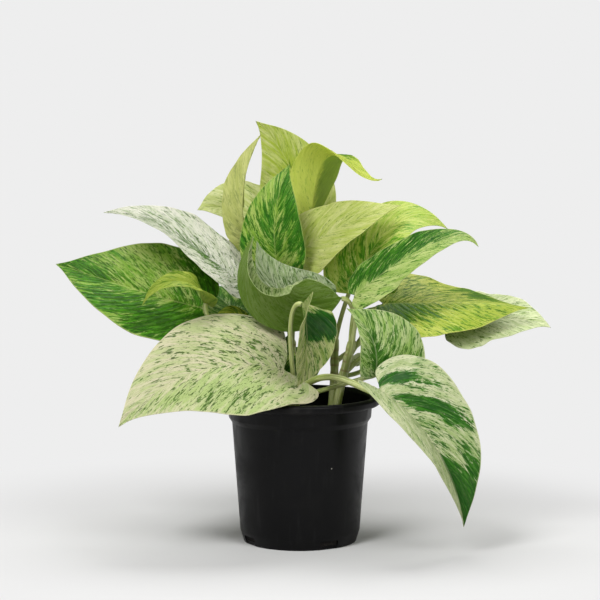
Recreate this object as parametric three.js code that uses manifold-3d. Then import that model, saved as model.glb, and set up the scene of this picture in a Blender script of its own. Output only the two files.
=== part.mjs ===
// A marbled pothos in a black nursery pot.
// Millimetres, +Z up. The origin is the centre of the pot's underside, and the plant's front is -Y.
//
// The pot is a thin turned shell with four drain notches, filled with potting soil. Rooted cuttings
// stand in holes in the soil. Each cutting is one body with its leaf stalks, and each leaf blade is
// a thin folded and waved sheet that sits on the end of its stalk.

import * as THREE from "three";
import { mergeVertices } from "three/addons/utils/BufferGeometryUtils.js";
import Module from "manifold-3d";

const wasm = await Module();
wasm.setup();

// ---------------------------------------------------------------- driving dimensions

const SEAT_GAP = 0.3; // between pieces that touch

const POT_HEIGHT = 100;
const POT_RIM_RADIUS = 55;
const POT_COLLAR_RADIUS = 49.3;
const POT_BODY_RADIUS = 46.4; // just below the step under the collar
const POT_SHOULDER_RADIUS = 41; // above the tapered foot
const POT_FOOT_RADIUS = 38.6;
const POT_STEP_HEIGHT = 82; // where the body ends and the collar starts
const POT_SHOULDER_HEIGHT = 8;
const POT_WALL = 1.2;
const POT_FLOOR = 2;
const POT_SEGMENTS = 40;

const NOTCH_COUNT = 4;
const NOTCH_FIRST_ANGLE = THREE.MathUtils.degToRad(-60); // from the front, towards +X
const NOTCH_WIDTH = 14;
const NOTCH_HEIGHT = 6;
const NOTCH_DEPTH = 7;

const SOIL_TOP = 80;
const SOIL_BUMP = 1.6; // height of the crumbs on its surface
const SOIL_RINGS = 6;
const SOIL_SEED = 7;

const STEM_RADIUS = 3;
const STEM_SIDES = 8;
const STEM_FOOT = 62; // height of the cut end, down in the soil
const STALK_RADIUS = 1.6; // of most leaves
const STALK_SIDES = 5;
const STALK_STEPS = 8;
const STALK_LEAN = 0.65; // how far a stalk leans back where it meets its blade

const BLADE_THICKNESS = 0.9;
const BLADE_ROWS = 12;
const BLADE_CELLS = 2; // from the midrib to the margin
const WAVE_SIDE_SHIFT = 1.7; // keeps the two margins from waving alike

// Half of a flat leaf: forward as a share of its length, sideways as a share of its half width,
// and the place on the midrib where the vein that ends there starts.
const LEAF_OUTLINE = [
  [0, 0, 0],
  [-0.1, 0.3, 0],
  [-0.04, 0.72, 0],
  [0.14, 0.98, 0.07],
  [0.36, 0.97, 0.2],
  [0.58, 0.74, 0.38],
  [0.78, 0.4, 0.6],
  [0.92, 0.12, 0.82],
  [1, 0, 1],
];

// ---------------------------------------------------------------- colours

const MATERIALS = {
  pot: { color: 0x141415, roughness: 0.42 },
  soil: { color: 0x2b1d14, roughness: 1 },
  stem: { color: 0x8f9a4b, roughness: 0.55 },
  marbled: { color: 0x4f8a35, roughness: 0.45 },
  cream: { color: 0xd9dca0, roughness: 0.5 },
  silver: { color: 0xc3cdb0, roughness: 0.5 },
  lime: { color: 0xa9bf4a, roughness: 0.5 },
  dark: { color: 0x2c6a28, roughness: 0.42 },
};

// ---------------------------------------------------------------- the plant's shape

// Each cutting: the points that its stem passes through, from the soil up.
const VINES = {
  vine_front: [[-4, -14, 84], [-3, -16, 96], [0, -15, 106]],
  vine_left: [[-22, -2, 84], [-24, -3, 104], [-27, -1, 122]],
  vine_centre: [[-4, 14, 84], [-5, 18, 110], [-6, 22, 136]],
  vine_top: [[-18, 24, 84], [-19, 26, 120], [-20, 28, 150]],
  vine_right: [[24, -4, 84], [29, -3, 112], [36, -1, 138]],
  vine_back: [[22, 26, 84], [24, 31, 112], [24, 36, 136]],
  vine_back_left: [[-24, 30, 84], [-27, 33, 98], [-30, 36, 116]],
};

// Each leaf: its cutting, where its stalk leaves the stem (0 to 1), the point that the stalk bends
// towards, the four control points of its midrib from stalk to tip, the way its upper face looks at
// the base, the middle and the tip, its half width, and how it is folded and waved. Some have lobes
// that hang back less or more, one half broader than the other, or a stalk of another radius.
const LEAVES = {
  leaf_left_marbled: {
    vine: "vine_left", node: 0.6, bend: [-46, 4, 128], look: "marbled",
    midrib: [[-68, 0, 160], [-100, -6, 168], [-136, -4, 181], [-167, 10, 189]],
    facing: [[0.05, -0.82, 0.57], [0.05, -0.82, 0.57], [0.1, -0.8, 0.6]],
    halfWidth: 38, fold: [22, 14], wave: 1.2,
  },
  leaf_front_cream: {
    vine: "vine_front", node: 0.5, bend: [-4, -20, 112], look: "cream",
    midrib: [[-11, -28, 121], [-45, -42, 134], [-90, -58, 124], [-118, -70, 89]],
    facing: [[-0.1, -0.62, 0.78], [-0.1, -0.78, 0.62], [-0.3, -0.7, 0.6]],
    halfWidth: 43, fold: [12, 4], wave: 1.5, lobes: [0.2, 1.9],
  },
  leaf_left_silver: {
    vine: "vine_left", node: 1, bend: [-20, 24, 152], look: "silver",
    midrib: [[-42, 5, 178], [-68, 0, 202], [-100, -12, 225], [-131, -20, 226]],
    facing: [[0.2, -0.52, 0.82], [0.2, -0.5, 0.84], [0.1, -0.45, 0.89]],
    halfWidth: 27, fold: [5, 30], wave: 1.2, breadth: [1, 0.82],
  },
  leaf_left_young: {
    vine: "vine_left", node: 0.8, bend: [-50, -14, 138], look: "lime",
    midrib: [[-63, -14, 165], [-66, -38, 184], [-92, -46, 190], [-104, -44, 166]],
    facing: [[0.2, -0.2, 0.9], [0, -0.7, 0.7], [-0.7, -0.6, 0.3]],
    halfWidth: 9, fold: [30, 8], wave: 0,
  },
  leaf_left_low: {
    vine: "vine_left", node: 0.3, bend: [-32, 4, 130], look: "lime",
    midrib: [[-42, 7, 144], [-47, 6, 154], [-53, 5, 154], [-57, 5, 146]],
    facing: [[-0.1, -0.7, 0.7], [-0.1, -0.7, 0.7], [-0.4, -0.6, 0.5]],
    halfWidth: 12, fold: [10, 10], wave: 0.8, lobes: [0.8, 0.8],
  },
  leaf_left_upright: {
    vine: "vine_top", node: 0.7, bend: [-32, 34, 158], look: "lime",
    midrib: [[-42, 34, 176], [-46, 35, 186], [-49, 37, 196], [-47, 39, 206]],
    facing: [[-0.2, -0.9, 0.3], [-0.3, -0.9, 0.1], [-0.3, -0.9, 0.1]],
    halfWidth: 14, fold: [15, 15], wave: 0.8,
  },
  leaf_upper_left: {
    vine: "vine_top", node: 0.9, bend: [-18, 44, 190], look: "lime",
    midrib: [[-20, 66, 210], [-34, 60, 223], [-54, 45, 229], [-71, 30, 225]],
    facing: [[-0.1, -0.75, 0.65], [-0.1, -0.75, 0.65], [-0.1, -0.75, 0.65]],
    halfWidth: 29, fold: [8, 8], wave: 1, lobes: [0.5, 0.5],
  },
  leaf_upper_narrow: {
    vine: "vine_top", node: 1, bend: [-32, 36, 186], look: "lime",
    midrib: [[-38, 20, 209], [-43, 16, 232], [-39, 18, 256], [-27, 26, 277]],
    facing: [[-0.75, 0.65, 0.1], [-0.75, 0.65, 0.1], [-0.75, 0.65, 0.1]],
    halfWidth: 14, fold: [40, 40], wave: 0.8,
  },
  leaf_top: {
    vine: "vine_top", node: 1, bend: [-8, 40, 190], look: "lime",
    midrib: [[-1, 57, 214], [2, 64, 240], [-10, 63, 268], [-31, 51, 286]],
    facing: [[-0.1, -0.9, 0.3], [-0.1, -0.9, 0.3], [-0.2, -0.9, 0.2]],
    halfWidth: 27, fold: [12, 12], wave: 1.2,
  },
  leaf_centre_dark: {
    vine: "vine_centre", node: 0.8, bend: [-10, 20, 172], look: "dark",
    midrib: [[-15, 12, 185], [-20, 1, 210], [-17, 4, 238], [-7, 12, 257]],
    facing: [[-0.3, -0.85, 0.4], [-0.3, -0.9, 0.3], [-0.3, -0.9, 0.2]],
    halfWidth: 24, fold: [18, 14], wave: 1, lobes: [0.5, 0.5],
  },
  leaf_top_arching: {
    vine: "vine_centre", node: 1, bend: [-4, 30, 176], look: "lime",
    midrib: [[6.5, 37.6, 214], [15, 38.4, 307], [36, -4, 238], [55, -12, 248]],
    facing: [[-0.8, 0.6, 0.1], [0.1, 0.3, 0.9], [0.3, -0.75, 0.6]],
    halfWidth: 19, fold: [24, 10], wave: 0.4, lobes: [0.2, 0.2],
  },
  leaf_top_rear: {
    vine: "vine_back", node: 0.9, bend: [10, 60, 165], look: "lime",
    midrib: [[7, 60, 190], [9, 66, 212], [12, 68, 230], [18, 64, 243]],
    facing: [[0.1, -0.95, 0.2], [0.1, -0.95, 0.2], [0.1, -0.95, 0.2]],
    halfWidth: 17, fold: [12, 12], wave: 1,
  },
  leaf_centre_pale: {
    vine: "vine_centre", node: 1, bend: [-4, 22, 172], look: "cream",
    midrib: [[-4, 22, 193], [18, 5, 213], [46, -6, 225], [68, -5, 230]],
    facing: [[-0.25, -0.85, 0.45], [-0.25, -0.72, 0.65], [-0.2, -0.6, 0.75]],
    halfWidth: 28, fold: [8, 8], wave: 1.2, lobes: [1, 0.5], breadth: [0.88, 0.88],
  },
  leaf_right_upper: {
    vine: "vine_right", node: 1, bend: [38, 8, 156], look: "marbled",
    midrib: [[43, 12, 171], [43, 10, 200], [66, 12, 236], [101, 14, 213]],
    facing: [[-0.3, -0.9, 0.3], [-0.4, -0.6, 0.7], [0.1, -0.5, 0.85]],
    halfWidth: 31, fold: [14, 8], wave: 1.2, lobes: [0.3, 0.3],
  },
  leaf_right_folded: {
    vine: "vine_right", node: 0.95, bend: [34, -10, 154], look: "dark",
    midrib: [[37, -15, 170], [62, -24, 192], [106, -32, 224], [118, -36, 204]],
    facing: [[-0.25, -0.6, 0.75], [-0.25, -0.6, 0.75], [-0.1, -0.6, 0.75]],
    halfWidth: 20, fold: [4, 10], wave: 1, lobes: [0.4, 0.4],
  },
  leaf_right_yellow: {
    vine: "vine_right", node: 0.8, bend: [48, 0, 150], look: "lime",
    midrib: [[57, 8, 162], [88, -2, 164], [125, -14, 166], [153, -22, 162]],
    facing: [[0, -0.55, 0.83], [0, -0.5, 0.86], [0, -0.5, 0.86]],
    halfWidth: 34, fold: [10, -30], wave: 1.5,
  },
  leaf_right_low: {
    vine: "vine_right", node: 0.6, bend: [72, 20, 156], look: "silver",
    midrib: [[105, 10, 149], [120, 6, 149], [150, -6, 158], [169, -14, 148]],
    facing: [[0, -0.55, 0.83], [0, -0.55, 0.83], [0, -0.55, 0.83]],
    halfWidth: 30, fold: [8, 4], wave: 1.5, lobes: [0.5, 0.5],
  },
  leaf_right_speckled: {
    vine: "vine_front", node: 0.8, bend: [30, -30, 112], look: "silver",
    midrib: [[50, -28, 117], [54, -33, 136], [46, -36, 152], [31, -34, 163]],
    facing: [[0.35, -0.88, 0.3], [0.35, -0.88, 0.3], [0.35, -0.8, 0.4]],
    halfWidth: 33, fold: [26, 22], wave: 1, taper: 1.2, lobes: [1, 0.3], breadth: [1, 0.5],
  },
  leaf_centre_cupped: {
    vine: "vine_right", node: 0.5, bend: [42, -4, 150], look: "silver",
    midrib: [[27, -14, 168], [-2, -16, 119], [-67, -18, 160], [-31, -20, 210]],
    facing: [[-0.8, -0.1, 0.5], [0.3, -0.22, 0.9], [0.7, -0.55, -0.5]],
    halfWidth: 38, fold: [70, 64], wave: 0.5, taper: 0.9, lobes: [0.2, 0.2], breadth: [0.84, 1],
  },
  leaf_right_drooping: {
    vine: "vine_front", node: 1, bend: [20, -36, 132], look: "cream", stalk: 2.2,
    midrib: [[53, -46, 110], [69, -58, 102], [102, -58, 70], [109, -46, 18]],
    facing: [[0.54, -0.77, 0.4], [0.54, -0.77, 0.4], [0.54, -0.77, 0.2]],
    halfWidth: 36, fold: [38, 36], wave: 1.2, breadth: [0.8, 1],
  },
  leaf_centre_hanging: {
    vine: "vine_front", node: 0.7, bend: [-8, -34, 140], look: "dark",
    midrib: [[2, -45, 167], [4, -52, 155], [8, -50, 130], [-2, -45, 112]],
    facing: [[0.97, -0.2, 0.1], [0.6, -0.75, 0.1], [0.5, -0.8, 0.1]],
    halfWidth: 22, fold: [36, 30], wave: 0.8, lobes: [0.1, 0.1],
  },
  leaf_centre_shaded: {
    vine: "vine_front", node: 0.3, bend: [-14, -4, 100], look: "dark",
    midrib: [[-12, -2, 112], [-13, -4, 122], [-11, -6, 132], [-8, -5, 142]],
    facing: [[0.2, -0.95, 0.2], [0.2, -0.95, 0.2], [0.2, -0.95, 0.2]],
    halfWidth: 11, fold: [10, 10], wave: 0.6,
  },
  leaf_centre_grey: {
    vine: "vine_centre", node: 0.7, bend: [18, 18, 140], look: "silver",
    midrib: [[20, 3, 156], [-2, -2, 160], [-27, -4, 174], [-29, -6, 206]],
    facing: [[0.1, -0.95, -0.05], [0.12, -0.95, -0.05], [0.3, -0.9, 0.1]],
    halfWidth: 24, fold: [8, 8], wave: 0.5, lobes: [0.3, 0.3], breadth: [1, 0.5],
  },
  leaf_back_left: {
    vine: "vine_back_left", node: 1, bend: [-36, 40, 136], look: "marbled",
    midrib: [[-44, 42, 150], [-60, 62, 168], [-82, 86, 176], [-98, 104, 162]],
    facing: [[-0.3, 0.3, 0.9], [-0.3, 0.5, 0.8], [-0.4, 0.7, 0.5]],
    halfWidth: 34, fold: [8, 6], wave: 1.2,
  },
  leaf_back_low_left: {
    vine: "vine_back_left", node: 0.7, bend: [-40, 38, 108], look: "cream",
    midrib: [[-46, 42, 120], [-62, 56, 130], [-82, 72, 122], [-94, 84, 98]],
    facing: [[-0.3, 0.4, 0.8], [-0.4, 0.6, 0.6], [-0.5, 0.7, 0.3]],
    halfWidth: 26, fold: [8, 6], wave: 1.2,
  },
  leaf_back_low: {
    vine: "vine_back_left", node: 0.85, bend: [-14, 46, 112], look: "marbled",
    midrib: [[-8, 52, 122], [-8, 74, 132], [-12, 104, 108], [-12, 116, 60]],
    facing: [[0, 0.4, 0.9], [-0.1, 0.8, 0.5], [0, 1, 0.1]],
    halfWidth: 32, fold: [8, 6], wave: 1.2,
  },
  leaf_back_upper_left: {
    vine: "vine_top", node: 0.85, bend: [-24, 46, 176], look: "marbled",
    midrib: [[-21, 70, 188], [-22, 86, 203], [-27, 104, 203], [-31, 120, 182]],
    facing: [[-0.1, 0.3, 0.9], [-0.1, 0.5, 0.8], [-0.1, 0.8, 0.5]],
    halfWidth: 24, fold: [10, 6], wave: 1.2,
  },
  leaf_back_upper: {
    vine: "vine_back", node: 1, bend: [6, 58, 190], look: "dark",
    midrib: [[4, 74, 208], [2, 92, 222], [6, 112, 222], [10, 126, 204]],
    facing: [[0, 0.2, 0.9], [0, 0.5, 0.8], [0.1, 0.8, 0.5]],
    halfWidth: 30, fold: [10, 6], wave: 1.2,
  },
  leaf_back_upper_right: {
    vine: "vine_back", node: 0.95, bend: [32, 46, 166], look: "marbled",
    midrib: [[38, 50, 182], [50, 66, 200], [64, 92, 202], [72, 110, 184]],
    facing: [[0.1, 0.3, 0.9], [0.3, 0.5, 0.8], [0.3, 0.8, 0.4]],
    halfWidth: 32, fold: [10, 6], wave: 1.2,
  },
  leaf_back_right: {
    vine: "vine_back", node: 0.7, bend: [46, 38, 134], look: "lime",
    midrib: [[54, 46, 146], [74, 62, 160], [98, 82, 162], [112, 96, 146]],
    facing: [[0.3, 0.3, 0.9], [0.4, 0.5, 0.8], [0.5, 0.7, 0.4]],
    halfWidth: 32, fold: [8, 6], wave: 1.2,
  },
  leaf_back_low_right: {
    vine: "vine_back", node: 0.5, bend: [42, 40, 108], look: "cream",
    midrib: [[48, 46, 118], [58, 58, 128], [74, 72, 120], [84, 80, 100]],
    facing: [[0.3, 0.5, 0.8], [0.4, 0.6, 0.6], [0.5, 0.7, 0.3]],
    halfWidth: 21, fold: [8, 6], wave: 1,
  },
};

// ---------------------------------------------------------------- solids

const plainMaterial = (look) => new THREE.MeshStandardMaterial({ metalness: 0, ...MATERIALS[look] });

// Keeps only the positions of a geometry and joins the corners that coincide.
function weld(geometry) {
  geometry.deleteAttribute("normal");
  geometry.deleteAttribute("uv");
  return mergeVertices(geometry, 1e-4);
}

function toSolid(geometry) {
  const welded = weld(geometry);
  return new wasm.Manifold(new wasm.Mesh({
    numProp: 3,
    vertProperties: new Float32Array(welded.attributes.position.array),
    triVerts: new Uint32Array(welded.index.array),
  }));
}

function toGeometry(solid) {
  const mesh = solid.getMesh();
  const geometry = new THREE.BufferGeometry();
  geometry.setAttribute("position", new THREE.BufferAttribute(mesh.vertProperties, 3));
  geometry.setIndex(new THREE.BufferAttribute(mesh.triVerts, 1));
  return geometry;
}

// A repeatable random number between 0 and 1.
function makeRandom(seed) {
  let state = seed;
  return () => {
    state = (state * 1664525 + 1013904223) % 4294967296;
    return state / 4294967296;
  };
}

// A closed tube of even radius along a curve.
function tube(curve, radius, sides, steps) {
  const section = new THREE.Shape();
  for (let i = 0; i < sides; i += 1) {
    const angle = (2 * Math.PI * i) / sides;
    const [x, y] = [radius * Math.cos(angle), radius * Math.sin(angle)];
    if (i === 0) section.moveTo(x, y);
    else section.lineTo(x, y);
  }
  section.closePath();
  return new THREE.ExtrudeGeometry(section, { steps, extrudePath: curve });
}

// ---------------------------------------------------------------- pot and soil

// The radius of the pot's inner wall at a height below the step.
function innerRadius(height) {
  const share = (height - POT_SHOULDER_HEIGHT) / (POT_STEP_HEIGHT - POT_SHOULDER_HEIGHT);
  return THREE.MathUtils.lerp(POT_SHOULDER_RADIUS, POT_BODY_RADIUS, share) - POT_WALL;
}

function potGeometry() {
  const collarFoot = POT_STEP_HEIGHT + 3.5;
  const lipFoot = POT_HEIGHT - 6;
  const profile = [
    [0, 0],
    [POT_FOOT_RADIUS, 0],
    [POT_SHOULDER_RADIUS, POT_SHOULDER_HEIGHT],
    [POT_BODY_RADIUS, POT_STEP_HEIGHT],
    [POT_COLLAR_RADIUS - 0.6, collarFoot],
    [POT_COLLAR_RADIUS, lipFoot],
    [POT_RIM_RADIUS - 1.4, lipFoot],
    [POT_RIM_RADIUS, lipFoot + 1.4],
    [POT_RIM_RADIUS, POT_HEIGHT - 1.4],
    [POT_RIM_RADIUS - 1.4, POT_HEIGHT],
    [POT_COLLAR_RADIUS + 1, POT_HEIGHT],
    [POT_COLLAR_RADIUS - POT_WALL, POT_HEIGHT - 2.2],
    [POT_COLLAR_RADIUS - 0.6 - POT_WALL, collarFoot + 0.6],
    [POT_BODY_RADIUS - POT_WALL, POT_STEP_HEIGHT + 0.6],
    [POT_SHOULDER_RADIUS - POT_WALL, POT_SHOULDER_HEIGHT],
    [POT_SHOULDER_RADIUS - POT_WALL - 1.6, POT_FLOOR],
    [0, POT_FLOOR],
  ];
  const shell = new THREE.LatheGeometry(profile.map(([r, z]) => new THREE.Vector2(r, z)), POT_SEGMENTS);
  shell.rotateX(Math.PI / 2);
  let pot = toSolid(shell);
  for (let i = 0; i < NOTCH_COUNT; i += 1) {
    const angle = NOTCH_FIRST_ANGLE + (2 * Math.PI * i) / NOTCH_COUNT;
    const notch = new THREE.BoxGeometry(NOTCH_WIDTH, NOTCH_DEPTH, 2 * NOTCH_HEIGHT);
    notch.translate(0, -POT_SHOULDER_RADIUS, 0);
    notch.rotateZ(angle);
    pot = pot.subtract(toSolid(notch));
  }
  return toGeometry(pot);
}

// The soil fills the pot to just under the step. Its surface is raised by small crumbs.
function soilGeometry(stemFeet) {
  const foot = POT_FLOOR + SEAT_GAP;
  const footRadius = POT_SHOULDER_RADIUS - POT_WALL - 1.6 - SEAT_GAP;
  const topRadius = innerRadius(SOIL_TOP) - SEAT_GAP;
  const profile = [
    [0, foot],
    [footRadius, foot],
    [innerRadius(POT_SHOULDER_HEIGHT) - SEAT_GAP, POT_SHOULDER_HEIGHT],
    [topRadius, SOIL_TOP],
  ];
  for (let ring = SOIL_RINGS - 1; ring >= 0; ring -= 1) profile.push([(topRadius * ring) / SOIL_RINGS, SOIL_TOP]);
  const body = new THREE.LatheGeometry(profile.map(([r, z]) => new THREE.Vector2(r, z)), POT_SEGMENTS);
  body.rotateX(Math.PI / 2);
  const welded = weld(body);
  const random = makeRandom(SOIL_SEED);
  const position = welded.attributes.position;
  for (let i = 0; i < position.count; i += 1) {
    const radius = Math.hypot(position.getX(i), position.getY(i));
    const onTop = position.getZ(i) > SOIL_TOP - 0.1 && radius < topRadius - 0.1;
    if (onTop) position.setZ(i, SOIL_TOP + SOIL_BUMP * random());
  }
  let soil = toSolid(welded);
  for (const [x, y] of stemFeet) {
    const hole = new THREE.CylinderGeometry(STEM_RADIUS + SEAT_GAP + 0.1, STEM_RADIUS + SEAT_GAP + 0.1, 40, 12);
    hole.rotateX(Math.PI / 2);
    hole.translate(x, y, STEM_FOOT - SEAT_GAP + 20);
    soil = soil.subtract(toSolid(hole));
  }
  return toGeometry(soil);
}

// ---------------------------------------------------------------- leaves

// A smooth curve through evenly spaced rows of numbers, at a share of its whole run.
function throughPoints(rows, share) {
  const last = rows.length - 1;
  const place = Math.min(share * last, last - 1e-9);
  const i = Math.floor(place);
  const t = place - i;
  const row = (k) => rows[THREE.MathUtils.clamp(k, 0, last)];
  return rows[0].map((_, axis) => {
    const [a, b, c, d] = [row(i - 1)[axis], row(i)[axis], row(i + 1)[axis], row(i + 2)[axis]];
    return 0.5 * (2 * b + (c - a) * t + (2 * a - 5 * b + 4 * c - d) * t ** 2 + (3 * b - a - 3 * c + d) * t ** 3);
  });
}

const bezier = (points) => new THREE.CubicBezierCurve3(...points.map((p) => new THREE.Vector3(...p)));

// The blade's own axes at a share of its midrib: along it, out of the upper face, and sideways.
function bladeFrame(leaf, curve, share) {
  const u = THREE.MathUtils.clamp(share, 0, 1);
  const along = curve.getTangentAt(u);
  const weights = [(1 - u) * (1 - 2 * u), 4 * u * (1 - u), u * (2 * u - 1)];
  const out = new THREE.Vector3();
  weights.forEach((weight, i) => out.addScaledVector(new THREE.Vector3(...leaf.facing[i]).normalize(), weight));
  out.addScaledVector(along, -out.dot(along)).normalize();
  const side = new THREE.Vector3().crossVectors(out, along);
  return { along, out, side };
}

// Where a point of the flat leaf lies once the leaf is bent, folded, curled and waved.
// "forward" is a share of the length, "sideways" is in millimetres from the midrib, "edge" is
// 0 on the midrib and 1 on the margin, and "hand" is 1 or -1 for the leaf's two halves.
function bladePoint(leaf, curve, length, forward, sideways, edge, hand) {
  const { along, out, side } = bladeFrame(leaf, curve, forward);
  const point = curve.getPointAt(THREE.MathUtils.clamp(forward, 0, 1));
  if (forward < 0) point.addScaledVector(along, forward * length);
  const u = THREE.MathUtils.clamp(forward, 0, 1);
  const fold = THREE.MathUtils.degToRad(THREE.MathUtils.lerp(leaf.fold[0], leaf.fold[1], u));
  const curl = leaf.curl ?? -0.006;
  const across = (Math.sin(fold + curl * sideways) - Math.sin(fold)) / curl;
  const rise = (Math.cos(fold) - Math.cos(fold + curl * sideways)) / curl;
  const phase = hand > 0 ? 0 : WAVE_SIDE_SHIFT;
  const ripple = leaf.wave * edge ** 2 * (sideways / leaf.halfWidth) * Math.sin(4 * Math.PI * forward + phase);
  return point.addScaledVector(side, hand * across).addScaledVector(out, rise + ripple);
}

// The middle surface of a blade: a grid of veins from the midrib to both margins.
function bladeSheet(leaf) {
  const curve = bezier(leaf.midrib);
  const length = curve.getLength();
  const points = [];
  const lookup = new Map();
  const lobes = leaf.lobes ?? [1, 1];
  const breadth = leaf.breadth ?? [1, 1];
  const vertex = (row, cell, hand) => {
    const [forward, broad, root] = throughPoints(LEAF_OUTLINE, row / BLADE_ROWS);
    const halfIndex = hand > 0 ? 1 : 0;
    const wide = breadth[halfIndex] * broad ** (leaf.taper ?? 1);
    const start = Math.max(0, root);
    const tip = row === BLADE_ROWS;
    const key = cell === 0 || tip ? `rib ${tip ? 1 : start.toFixed(5)}` : `${row} ${cell} ${hand}`;
    if (lookup.has(key)) return lookup.get(key);
    const edge = cell / BLADE_CELLS;
    const reach = forward < 0 ? forward * lobes[halfIndex] : forward;
    const at = THREE.MathUtils.lerp(start, reach, edge);
    points.push(bladePoint(leaf, curve, length, at, wide * leaf.halfWidth * edge, edge, hand));
    lookup.set(key, points.length - 1);
    return points.length - 1;
  };
  const faces = [];
  const addFace = (a, b, c) => {
    if (a !== b && b !== c && a !== c) faces.push([a, b, c]);
  };
  // The first vein of each half is the edge of the notch at the stalk.
  const margins = { 1: [], "-1": [] };
  for (const hand of [1, -1]) {
    for (let cell = 0; cell < BLADE_CELLS; cell += 1) margins[hand].push(vertex(1, cell, hand));
    for (let row = 1; row <= BLADE_ROWS; row += 1) margins[hand].push(vertex(row, BLADE_CELLS, hand));
    for (let row = 1; row < BLADE_ROWS; row += 1) {
      for (let cell = 0; cell < BLADE_CELLS; cell += 1) {
        const [a, b] = [vertex(row, cell, hand), vertex(row, cell + 1, hand)];
        const [c, d] = [vertex(row + 1, cell + 1, hand), vertex(row + 1, cell, hand)];
        if (hand > 0) {
          addFace(a, b, c);
          addFace(a, c, d);
        } else {
          addFace(a, c, b);
          addFace(a, d, c);
        }
      }
    }
  }
  const rim = [...margins[1], ...margins["-1"].slice(1, -1).reverse()];
  return { points, faces, rim };
}

// A blade with both faces and the strip round its edge. Both faces share one set of triangles.
function bladeGeometry(leaf) {
  const { points, faces, rim } = bladeSheet(leaf);
  const normals = points.map(() => new THREE.Vector3());
  for (const [a, b, c] of faces) {
    const ab = new THREE.Vector3().subVectors(points[b], points[a]);
    const ac = new THREE.Vector3().subVectors(points[c], points[a]);
    const normal = ab.cross(ac);
    for (const i of [a, b, c]) normals[i].add(normal);
  }
  const half = BLADE_THICKNESS / 2;
  const upper = points.map((p, i) => p.clone().addScaledVector(normals[i].normalize(), half));
  const lower = points.map((p, i) => p.clone().addScaledVector(normals[i], -half));
  const count = points.length;
  const index = [];
  for (const [a, b, c] of faces) index.push(a, b, c, count + a, count + c, count + b);
  for (let i = 0; i < rim.length; i += 1) {
    const [a, b] = [rim[i], rim[(i + 1) % rim.length]];
    index.push(a, count + b, b, a, count + a, count + b);
  }
  const geometry = new THREE.BufferGeometry();
  geometry.setFromPoints([...upper, ...lower]);
  geometry.setIndex(index);
  return geometry;
}

// ---------------------------------------------------------------- cuttings

// The stem from its cut end in the soil to its top.
function stemCurve(points) {
  const [x, y] = points[0];
  const buried = [[x, y, STEM_FOOT], [x, y, (STEM_FOOT + SOIL_TOP) / 2]];
  return new THREE.CatmullRomCurve3([...buried, ...points].map((p) => new THREE.Vector3(...p)));
}

// A stalk from a node on the stem to the underside of its blade, which it meets a little from behind.
function stalkCurve(leaf, stem) {
  const soilShare = (SOIL_TOP + STEM_RADIUS - STEM_FOOT) / stem.getLength();
  const curve = bezier(leaf.midrib);
  const { along, out } = bladeFrame(leaf, curve, 0);
  const arrival = out.clone().addScaledVector(along, STALK_LEAN).normalize();
  const tilt = Math.sqrt(1 - arrival.dot(out) ** 2);
  const drop = BLADE_THICKNESS / 2 + SEAT_GAP + STALK_RADIUS * tilt;
  const end = curve.getPointAt(0).addScaledVector(out, -drop);
  const start = stem.getPointAt(THREE.MathUtils.lerp(soilShare, 0.97, leaf.node));
  const bend = new THREE.Vector3(...leaf.bend);
  const reach = 0.35 * end.distanceTo(bend);
  const approach = end.clone().addScaledVector(arrival, -reach);
  return new THREE.CubicBezierCurve3(start, bend, approach, end);
}

function vineGeometry(name) {
  const stem = stemCurve(VINES[name]);
  let vine = toSolid(tube(stem, STEM_RADIUS, STEM_SIDES, 10));
  for (const leaf of Object.values(LEAVES)) {
    if (leaf.vine !== name) continue;
    const stalk = tube(stalkCurve(leaf, stem), leaf.stalk ?? STALK_RADIUS, STALK_SIDES, STALK_STEPS);
    vine = vine.add(toSolid(stalk));
  }
  return toGeometry(vine);
}

// ---------------------------------------------------------------- assembly

const plant = new THREE.Group();

function addPiece(name, geometry, look) {
  const mesh = new THREE.Mesh(geometry, plainMaterial(look));
  mesh.name = name;
  plant.add(mesh);
}

addPiece("pot", potGeometry(), "pot");
addPiece("soil", soilGeometry(Object.values(VINES).map(([foot]) => foot)), "soil");
for (const name of Object.keys(VINES)) addPiece(name, vineGeometry(name), "stem");
for (const [name, leaf] of Object.entries(LEAVES)) addPiece(name, bladeGeometry(leaf), leaf.look);

export default plant;
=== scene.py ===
"""A marbled pothos in a black nursery pot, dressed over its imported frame.

Sizes are in millimetres in the tables below and in metres in Blender. Each leaf is bent, folded and
waved by the same rules as its plain solid, on a finer grid, and its green and cream follow its veins.
"""

import math
from collections import namedtuple

import bmesh
import bpy
import numpy as np
from mathutils import Matrix, Vector, noise


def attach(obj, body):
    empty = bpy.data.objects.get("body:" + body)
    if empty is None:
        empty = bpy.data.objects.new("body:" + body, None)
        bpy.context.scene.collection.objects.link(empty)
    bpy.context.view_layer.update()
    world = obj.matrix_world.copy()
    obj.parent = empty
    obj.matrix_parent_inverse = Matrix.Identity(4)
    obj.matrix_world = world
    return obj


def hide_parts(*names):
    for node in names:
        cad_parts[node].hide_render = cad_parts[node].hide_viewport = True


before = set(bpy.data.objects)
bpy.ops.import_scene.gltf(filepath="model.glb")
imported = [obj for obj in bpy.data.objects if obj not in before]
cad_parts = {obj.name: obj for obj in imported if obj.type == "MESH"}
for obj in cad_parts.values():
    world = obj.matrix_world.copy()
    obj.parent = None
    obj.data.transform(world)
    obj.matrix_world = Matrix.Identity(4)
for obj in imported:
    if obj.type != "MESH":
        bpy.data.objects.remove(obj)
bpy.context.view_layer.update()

MM = 0.001
PATTERN_UNIT = 10  # millimetres in one unit of a pattern's own places

# ---------------- driving dimensions, in millimetres

SEAT_GAP = 0.3

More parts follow.
